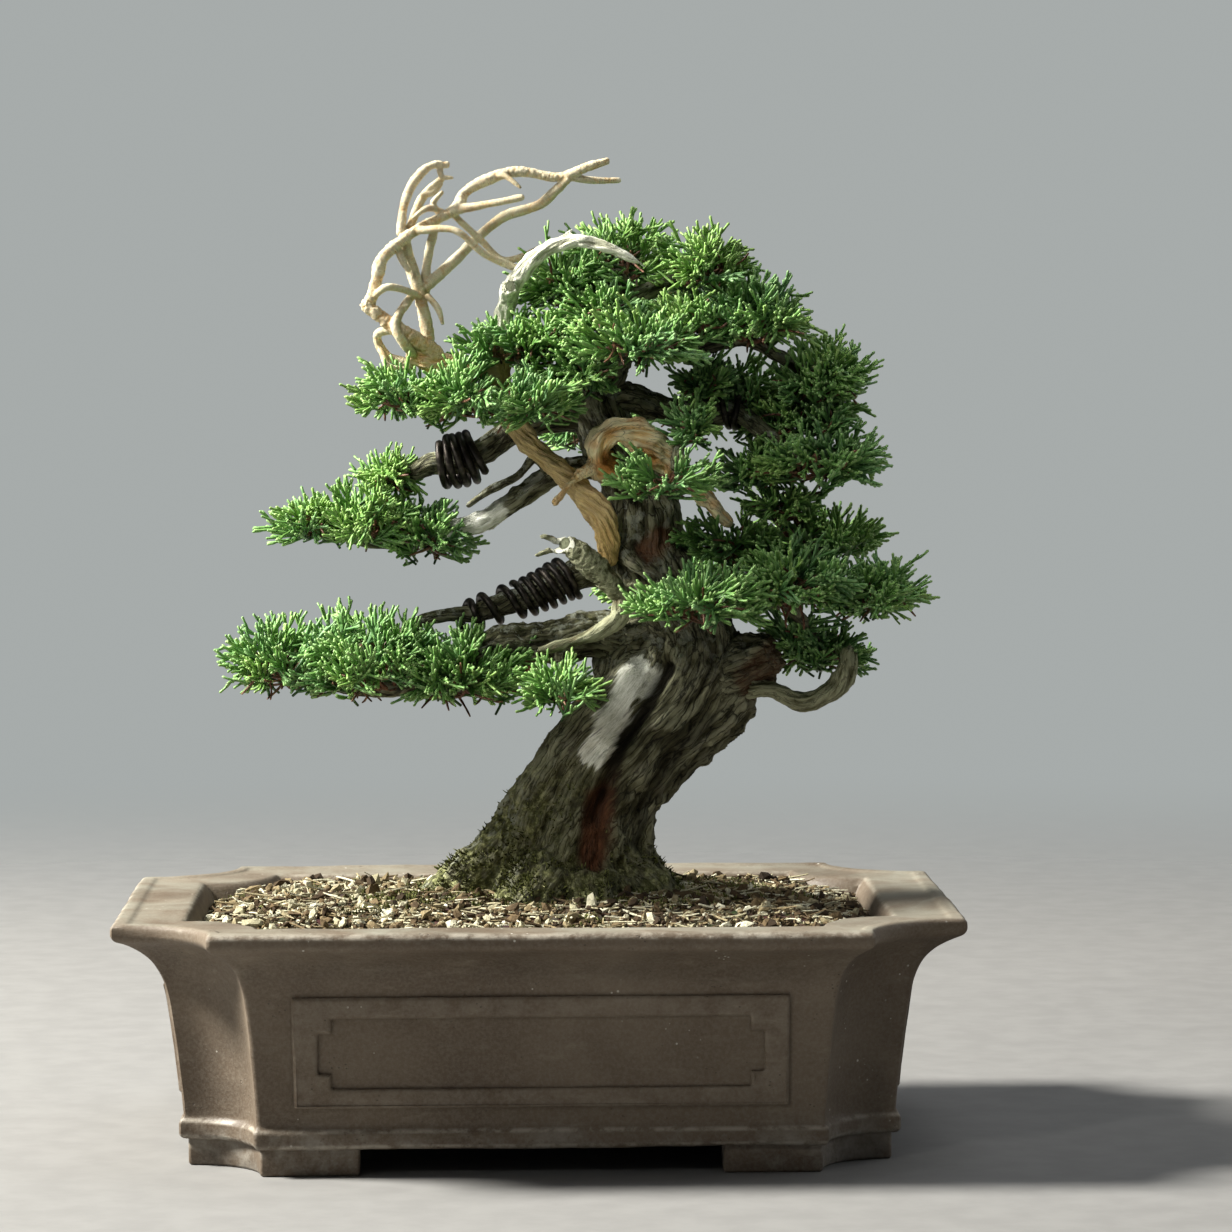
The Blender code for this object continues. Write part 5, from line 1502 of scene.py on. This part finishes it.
def any_side(direction, rng):
    """A unit vector square to the direction, at a random turn."""
    random = rng.normal(size=3)
    return unit(random - direction * (random @ direction))


def add_shoot(rods, rng, root, direction, side, flat, sign, reach, thick, hue, tip_low, buds_apart):
    """One side shoot of a frond, with its scale-covered buds."""
    lean = math.radians(rng.uniform(*SHOOT_LEAN))
    out = unit(direction * math.cos(lean) + side * sign * math.sin(lean) + flat * rng.normal() * 0.36)
    reach = reach * rng.uniform(0.75, 1.25) + 2.2
    bend = unit(out + 0.40 * direction + rng.normal(size=3) * 0.08)
    mid = root + out * reach * 0.5
    end = mid + bend * reach * 0.5
    hue = hue + rng.normal() * 0.06
    rods.add("lateral", root, mid, end, 0.92 * thick, 0.90 * thick, hue,
             tip_low, rng.uniform(0.84, 1.0), 0.0)
    buds = int(reach / buds_apart + rng.uniform(-0.3, 0.8))
    for i in range(buds):
        bud = bezier(0.25 + 0.62 * (i + rng.uniform(0.1, 0.9)) / buds, root, mid, end)
        swing = sign if i % 2 == 0 else -sign
        fan = unit(out + 0.55 * swing * side * rng.uniform(0.6, 1.3) + flat * rng.normal() * 0.40
                   + direction * 0.3)
        size = rng.uniform(*BUD_LENGTH)
        rods.add("finger", bud, bud + fan * size * 0.55, bud + unit(fan + 0.35 * direction) * size,
                 0.86 * thick, 0.80 * thick, hue + rng.normal() * 0.05, 0.42, rng.uniform(0.88, 1.0), 0.0)


def add_spray(rods, rng, base, direction, length, tone, vigour, sparse):
    """One juniper frond: a stem, and long straight shoots to both sides."""
    flat = unit(np.cross(direction, any_side(direction, rng)) + np.array([0, 0, 0.25]))
    side = unit(np.cross(flat, direction))
    stray = rng.normal(size=3) * 0.07 * length
    tip = base + direction * length + np.array([0, 0, 0.08 * length]) + stray
    middle = base + direction * length * 0.5 - np.array([0, 0, 0.06 * length]) + stray * 0.3
    thick = SHOOT_RADIUS * vigour
    rods.add("stem", base, middle, tip, 0.85 * thick, thick, tone, 0.05, 0.96, 0.0)
    pairs = int(2 + length / 3.9)
    for i in range(pairs):
        t = 0.10 + 0.80 * (i + rng.uniform(0.15, 0.85)) / pairs
        root = bezier(t, base, middle, tip)
        hand = 1 if i % 2 == 0 else -1
        for sign in (hand, -hand):
            if sign == hand or rng.random() >= 0.55:
                add_shoot(rods, rng, root, direction, side, flat, sign, length * (0.58 - 0.30 * t), thick,
                          tone, 0.22 + 0.26 * t, 6.0 if sparse else 3.0)


def hidden_wood(points):
    """True where a frond would cover bare wood that the photograph shows."""
    blocked = np.zeros(len(points), dtype=bool)
    for line, reach, front_of in CLEAR_VIEWS:
        blocked |= (distance_to_line(points, line) < reach) & (points[:, 1] < front_of)
    return blocked


def add_twigs(rods, rng, centre, size, origin, count):
    """A fan of bare twigs from the branch, and the hubs they end at."""
    hubs = []
    for i in range(count):
        angle = i * GOLDEN_ANGLE + rng.uniform(0, 0.6)
        spread = math.sqrt((i + 0.5) / count) * 0.55
        hub = centre + size * np.array([math.cos(angle) * spread, math.sin(angle) * spread,
                                        rng.uniform(-0.35, 0.15)])
        sag = np.array([0, 0, -0.12 * np.linalg.norm(hub - origin)])
        rods.add("twig", origin, (origin + hub) / 2 + sag + rng.normal(size=3), hub,
                 1.0, 0.62, 0.5, 0.0, 0.0, 1.0)
        hubs.append(hub)
        for _ in range(TWIGS_PER_HUB):
            reach = unit(rng.normal(size=3) + np.array([0.0, -0.5, 0.0])) * size * rng.uniform(0.5, 0.95)
            bow = hub + 0.5 * reach + rng.normal(size=3) * 1.6
            rods.add("twig", hub, bow, hub + reach, 0.55, 0.34, 0.5, 0.0, 0.0, 1.0)
    return np.array(hubs)


def add_cushion(rods, rng, centre, size, origin, seed, spacing):
    """Fronds over a low dome, held by a fan of bare twigs."""
    area = 4 * math.pi * np.mean((size * np.roll(size, 1)) ** 1.6) ** (1 / 1.6)
    count = int(area * 0.72 / spacing) + 5
    hubs = add_twigs(rods, rng, centre, size, origin, max(3, count // 6))
    for i in range(count):
        height = 1 - 1.44 * (i + 0.5) / count
        angle = i * GOLDEN_ANGLE + rng.normal() * 0.3
        flat = math.sqrt(max(0.0, 1 - height * height))
        shell = np.array([flat * math.cos(angle), flat * math.sin(angle), height])
        lump = 1 + 0.24 * noise((shell * 2.3 + seed)[None], 81)[0]
        belly = 1.0 if height > 0 else 0.7
        outer = centre + size * shell * np.array([1, 1, belly]) * lump * rng.uniform(0.84, 1.16)
        radial = unit(outer - centre)
        normal = unit(shell / size)
        direction = unit(0.80 * radial + 0.30 * normal + np.array([0, 0, 0.24]) + rng.normal(size=3) * 0.30)
        sparse = rng.random() < 0.35
        length = rng.uniform(*FROND_LENGTH) * (0.70 + 0.30 * min(size[2] / 11.0, 1.2))
        base = outer - direction * length
        hub = hubs[np.argmin(np.linalg.norm(hubs - base, axis=1))]
        bow = (hub + base) / 2 + rng.normal(size=3) * 1.2
        tone = 0.36 + 0.55 * noise((outer / 16.0)[None], 82)[0] + rng.normal() * 0.14
        vigour = rng.uniform(0.90, 1.12)
        if not hidden_wood(np.array([outer, base + 0.5 * direction * length])).any():
            rods.add("twig", hub, bow, base + direction * 0.3 * length, 0.62, 0.42, 0.5, 0.0, 0.15, 0.9)
            add_spray(rods, rng, base, direction, length, min(max(tone, 0.0), 1.0), vigour, sparse)


def make_pad(name, centre, size, origin, seed, limbs):
    rng = np.random.default_rng(seed)
    rods = Rods()
    centre, size, origin = (np.array(values, dtype=float) for values in (centre, size, origin))
    add_cushion(rods, rng, centre, size, origin, seed, SPRAY_SPACING)
    for extra_centre, extra_size, spacing in EXTRA_GROWTH.get(name, ()):
        extra_centre, extra_size = np.array(extra_centre, dtype=float), np.array(extra_size, dtype=float)
        nearest = np.argmin(np.linalg.norm(limbs.centre - extra_centre, axis=1))
        add_cushion(rods, rng, extra_centre, extra_size, limbs.centre[nearest], seed + 40, spacing)
    return place(rods.mesh(name + "_sprays"), FOLIAGE, "foliage", name)


# --- soil --------------------------------------------------------------------
# (inset from the rim outline, height of the soil)
SOIL_CROWN = [
    (26.5, 74.2), (30.0, 75.0), (38.0, 77.4), (54.0, 80.6), (70.0, 82.8), (86.0, 84.0), (104.0, 84.4),
]
SOIL_BOTTOM = 27.0
GRANULE_COUNT = 7200
STRAW_COUNT = 3000
STRAW_LONGEST = 13.0
MOSS_SPOTS = 7000
TUFTS_PER_SPOT = 4


def soil_height(x, y):
    inset = np.minimum(POT_WIDTH / 2 - np.abs(x), POT_DEPTH / 2 - np.abs(y))
    base = np.interp(inset, *zip(*SOIL_CROWN))
    points = np.column_stack([np.ravel(x), np.ravel(y), np.zeros(np.size(x))])
    rough = 1.1 * fractal(points / 16.0, 3, 51) + 0.35 * noise(points / 3.0, 52)
    return base + rough.reshape(np.shape(x)) * smoothstep(26, 34, inset) - 0.4


def make_soil():
    rings = []
    for inset in [*np.linspace(26.4, 96, 44), 100, 103.5]:
        ring = outline(inset, soft=0.8)
        rings.append(np.column_stack([ring, soil_height(ring[:, 0], ring[:, 1])]))
    skirt = at_height(rings[0][:, :2] * 0.985, SOIL_BOTTOM)
    place(stacked_rings("soil_bed", [skirt] + rings), soil_mix(), "soil_mix", "soil")


def within_pot(x, y, wall, gap, corner):
    """True inside the pot's inner wall and clear of its notched corners."""
    over_x = np.abs(x) - (POT_WIDTH / 2 - wall)
    over_y = np.abs(y) - (POT_DEPTH / 2 - wall)
    return (over_x < -gap) & (over_y < -gap) & (np.hypot(over_x, over_y) > corner)


def scatter_spots(rng, count):
    """Random places on the soil, inside the pot's inner wall and clear of the trunk."""
    spots = []
    while len(spots) < count:
        x = rng.uniform(-113, 113, count)
        y = rng.uniform(-78, 78, count)
        clear = np.hypot((x - TRUNK_X) / 1.15, y) > 20 + 4 * rng.random(count)
        spots.extend(np.column_stack([x, y])[within_pot(x, y, 27, 0.5, 25.5) & clear])
    return np.array(spots[:count])


def turned(rng, count):
    """Random rotations, one for each row."""
    q = unit(rng.normal(size=(count, 4)))
    w, x, y, z = q.T
    return np.stack([
        np.stack([1 - 2 * (y * y + z * z), 2 * (x * y - w * z), 2 * (x * z + w * y)], axis=-1),
        np.stack([2 * (x * y + w * z), 1 - 2 * (x * x + z * z), 2 * (y * z - w * x)], axis=-1),
        np.stack([2 * (x * z - w * y), 2 * (y * z + w * x), 1 - 2 * (x * x + y * y)], axis=-1)], axis=1)


def make_granules():
    """Loose crumbs: every one an uneven little stone or piece of bark."""
    rng = np.random.default_rng(301)
    count = GRANULE_COUNT
    spots = scatter_spots(rng, count)
    bm = bmesh.new()
    bmesh.ops.create_icosphere(bm, subdivisions=1, radius=1.0)
    ball = np.array([vert.co for vert in bm.verts])
    faces = np.array([[vert.index for vert in face.verts] for face in bm.faces])
    bm.free()
    size = rng.uniform(0.55, 1.30, count) * np.where(rng.random(count) < 0.14, 2.0, 1.0)
    squash = np.column_stack([rng.uniform(0.9, 1.7, count), rng.uniform(0.7, 1.1, count),
                              rng.uniform(0.45, 0.85, count)])
    shape = ball[None] * squash[:, None] * size[:, None, None]
    shape *= 1 + 0.25 * rng.uniform(-1, 1, shape.shape[:2])[..., None]
    shape = np.einsum("nij,nvj->nvi", turned(rng, count), shape)
    z = soil_height(spots[:, 0], spots[:, 1]) + rng.uniform(-0.1, 0.6, count) * size
    centres = np.column_stack([spots, z])
    verts = (centres[:, None] + shape).reshape(-1, 3)
    index = (faces[None] + (np.arange(count) * len(ball))[:, None, None]).reshape(-1, 3)
    obj = new_mesh("soil_granules", verts, [index], smooth=False)
    # Crumbs are paler towards the front; the paler left half is painted light.
    tone = rng.beta(1.0, 1.7, count) + 0.12 * (spots[:, 1] < -40) + 0.08 * (spots[:, 0] < 0)
    store(obj.data, "tone", np.repeat(np.clip(tone, 0, 1), len(ball)))
    return place(obj, granules(), "soil_mix")


def make_straw():
    """Dry moss stems and shavings that lie flat on the soil."""
    rng = np.random.default_rng(302)
    count = STRAW_COUNT
    spots = scatter_spots(rng, count)
    z = soil_height(spots[:, 0], spots[:, 1]) + rng.uniform(0.3, 1.1, count)
    heading = rng.uniform(0, 2 * math.pi, count)
    length = np.minimum(rng.gamma(3.0, 1.4, count) + 1.6, STRAW_LONGEST)
    along = np.column_stack([np.cos(heading), np.sin(heading), rng.normal(0, 0.14, count)])
    start = np.column_stack([spots, z])
    end = start + along * length[:, None]
    keep = within_pot(end[:, 0], end[:, 1], 26, 1, 27)
    start, end, length = start[keep], end[keep], length[keep]
    count = len(start)
    bow = rng.normal(size=(count, 3)) * length[:, None] * np.array([0.14, 0.14, 0.05])
    thick = rng.uniform(0.18, 0.60, count)
    points, quads, ends, _, per = bent_rods(start, (start + end) / 2 + bow, end, thick, thick * 0.6, 4, 4)
    obj = new_mesh("soil_straw", points, [quads, ends], smooth=False)
    store(obj.data, "tone", np.repeat(rng.beta(2.4, 1.3, count), per))
    return place(obj, bpy.data.materials["granules"], "soil_mix")


def make_moss(trunk):
    """Short green tufts round the roots and up the mossy flank."""
    rng = np.random.default_rng(303)
    mesh = trunk.data
    points, normals = read_points(mesh), read_normals(mesh)
    mask = np.empty(len(mesh.vertices), dtype=np.float32)
    mesh.attributes["moss"].data.foreach_get("value", mask)
    keen = mask * smoothstep(134, 92, points[:, 2]) * (points[:, 2] > 78)
    patchy = smoothstep(-0.45, 0.45, noise(points / 6.0, 57))
    chosen = rng.random(len(points)) < 0.34 * keen ** 1.4 * patchy
    roots, up = points[chosen], normals[chosen]
    spots = scatter_spots(rng, MOSS_SPOTS)
    patch = np.column_stack([spots / 15.0, np.zeros(len(spots))])
    close = np.hypot((spots[:, 0] - TRUNK_X) / 1.5, spots[:, 1])
    wanted = noise(patch, 55) + smoothstep(75, 28, close) * 1.5 - 0.95 + 0.25 * (spots[:, 0] < -20)
    spots = spots[wanted > 0]
    ground = np.column_stack([spots, soil_height(spots[:, 0], spots[:, 1])])
    clumps = np.repeat(ground, TUFTS_PER_SPOT, axis=0)
    clumps += rng.normal(size=clumps.shape) * np.array([0.8, 0.8, 0.3])
    roots = np.vstack([roots, clumps])
    up = np.vstack([up, np.tile((0.0, 0.0, 1.0), (len(clumps), 1))])
    lean = unit(up + rng.normal(size=up.shape) * 0.55 + np.array([0, 0, 0.25]))
    size = rng.uniform(0.6, 2.2, len(roots))
    end = roots + lean * size[:, None]
    middle = (roots + end) / 2 + rng.normal(size=roots.shape) * 0.12
    thick = rng.uniform(0.20, 0.42, len(roots))
    points, quads, ends, along, per = bent_rods(roots - lean * 0.3, middle, end, thick, thick * 0.45, 3, 3)
    obj = new_mesh("moss_tufts", points, [quads, ends], smooth=False)
    tone = np.clip(0.42 + 0.35 * noise(roots / 9.0, 56) + rng.normal(0, 0.16, len(roots)), 0, 1)
    store(obj.data, "tone", np.repeat(tone, per))
    store(obj.data, "tip", along)
    return place(obj, MOSS, "soil_mix")


def dress_cad_nodes():
    """Better materials for the CAD nodes that stay."""
    looks = {"drainage_layer": pumice()}
    looks.update(dict.fromkeys(("drain_screen_left", "drain_screen_right"), plastic()))
    looks.update(dict.fromkeys(("tie_down_wire", "screen_clip_left", "screen_clip_right"),
                               metal("bare_wire", (0.42, 0.42, 0.42), (0.66, 0.66, 0.65), 0.36, 1.0)))
    for obj in bpy.context.scene.objects:
        name = obj.get("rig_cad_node")
        if name in looks:
            obj.data.materials.clear()
            obj.data.materials.append(looks[name])


# --- studio ------------------------------------------------------------------
CAMERA_PLACE = (-19.8, -1612.0, 264.0)
CAMERA_TURN = (1.67, -3.08, -0.24)      # yaw, pitch and roll in degrees
LENS = 138.8
MIDDLE = (0.0, 0.0, 0.18)               # what the lamps aim at, in metres
# name, kind, place and target in metres, watts, colour, other settings
LAMPS = [
    ("window", "AREA", (-1.60, 0.06, 1.38), MIDDLE, 168.0, (1.0, 0.97, 0.90), {"size": 0.50}),
    ("front_fill", "AREA", (-0.8, -1.7, 1.1), (0.0, 0.0, 0.15), 0.4, (1.0, 0.985, 0.95), {"size": 1.6}),
    ("top_fill", "AREA", (0.35, 0.25, 1.9), MIDDLE, 11.0, (0.96, 0.98, 1.0), {"size": 1.4}),
    # a soft cone from the front left that reaches the tree but not the pot
    ("tree_light", "SPOT", (-0.95, -1.25, 1.20), (0.0, 0.0, 0.262), 86.0, (1.0, 0.98, 0.93),
     {"spot_size": math.radians(10.5), "spot_blend": 0.6, "shadow_soft_size": 0.22}),
    ("right_fill", "AREA", (1.7, 0.3, 0.9), MIDDLE, 5.5, (0.94, 0.97, 1.0), {"size": 1.2}),
]
GLOW = (0.90, 0.95, 1.0, 1.0)           # the light from all round
GLOW_STRENGTH = 0.056
BACKDROP = (0.385, 0.410, 0.405, 1.0)   # what the camera sees behind the floor


def make_camera():
    data = bpy.data.cameras.new("camera")
    data.lens = LENS
    data.sensor_width = 36.0
    data.clip_end = 30.0
    camera = show("camera", data)
    yaw, pitch, roll = (math.radians(angle) for angle in CAMERA_TURN)
    ahead = Vector((math.sin(yaw) * math.cos(pitch), math.cos(yaw) * math.cos(pitch), math.sin(pitch)))
    right = Vector((math.cos(yaw), -math.sin(yaw), 0.0))
    up = right.cross(ahead)
    tilted = right * math.cos(roll) + up * math.sin(roll)
    up = up * math.cos(roll) - right * math.sin(roll)
    matrix = Matrix((tilted, up, -ahead)).transposed().to_4x4()
    matrix.translation = Vector(CAMERA_PLACE) * MM
    camera.matrix_world = matrix
    bpy.context.scene.camera = camera


def make_studio():
    for name, kind, place_at, target, power, colour, settings in LAMPS:
        data = bpy.data.lights.new(name, kind)
        data.energy = power
        data.color = colour
        if kind == "AREA":
            data.shape = "DISK"
        for key, value in settings.items():
            setattr(data, key, value)
        light = show(name, data)
        light.location = place_at
        aim = Vector(target) - Vector(place_at)
        light.rotation_euler = aim.to_track_quat("-Z", "Y").to_euler()
    world = bpy.data.worlds.new("studio")
    world.use_nodes = True
    tree = world.node_tree
    tree.nodes.clear()
    output = tree.nodes.new("ShaderNodeOutputWorld")
    blend = tree.nodes.new("ShaderNodeMixShader")
    sight = tree.nodes.new("ShaderNodeLightPath")
    glow = tree.nodes.new("ShaderNodeBackground")
    glow.inputs["Color"].default_value = GLOW
    glow.inputs["Strength"].default_value = GLOW_STRENGTH
    seen = tree.nodes.new("ShaderNodeBackground")
    seen.inputs["Color"].default_value = BACKDROP
    tree.links.new(sight.outputs["Is Camera Ray"], blend.inputs["Fac"])
    tree.links.new(glow.outputs[0], blend.inputs[1])
    tree.links.new(seen.outputs[0], blend.inputs[2])
    tree.links.new(blend.outputs[0], output.inputs["Surface"])
    bpy.context.scene.world = world
    bpy.context.scene.view_settings.view_transform = "Standard"


def make_floor():
    """A pale round floor whose far edge fades away."""
    rings, sides = 24, 96
    radii = np.linspace(0.02, 1.0, rings) ** 1.3 * 1500.0
    cosines, sines = circle(sides)
    points = np.array([(r * a, r * b, -0.05) for r in radii for a, b in zip(cosines, sines)])
    index, quads = ring_faces(rings, sides)
    floor = new_mesh("floor", points, [quads, [index[0]]])
    s = Shader("floor")
    grain = s.noise(60.0, 4.0, 0.6)
    colour = s.mix(s.band(grain, 0.3, 0.7), (0.215, 0.213, 0.208), (0.240, 0.238, 0.232))
    s.finish(colour, 0.65, [(s.noise(500.0, 3.0), 0.1, 0.2)], Specular_IOR_Level=0.2)
    reach = s.node("ShaderNodeVectorMath", {0: s.place}, "Value", operation="LENGTH")
    clear = s.node("ShaderNodeBsdfTransparent", {})
    fade = s.node("ShaderNodeMixShader", {0: s.band(reach, 0.45, 1.45), 1: s.surface.outputs[0], 2: clear})
    s.tree.links.new(fade, s.tree.nodes["Material Output"].inputs["Surface"])
    floor.data.materials.append(s.material)


# --- everything --------------------------------------------------------------
make_camera()
make_studio()
make_floor()
make_pot()
TRUNK = make_trunk()
make_branches()
make_all_deadwood()
make_wires()
ALL_LIMBS = Limbs([points for group in BRANCHES.values() for points in group.values()]
                  + list(TRUNK_STRANDS.values()))
for number, (pad_name, (pad_centre, pad_size, pad_origin)) in enumerate(PADS.items()):
    make_pad(pad_name, pad_centre, pad_size, pad_origin, 500 + number, ALL_LIMBS)
make_soil()
make_granules()
make_straw()
make_moss(TRUNK)
dress_cad_nodes()
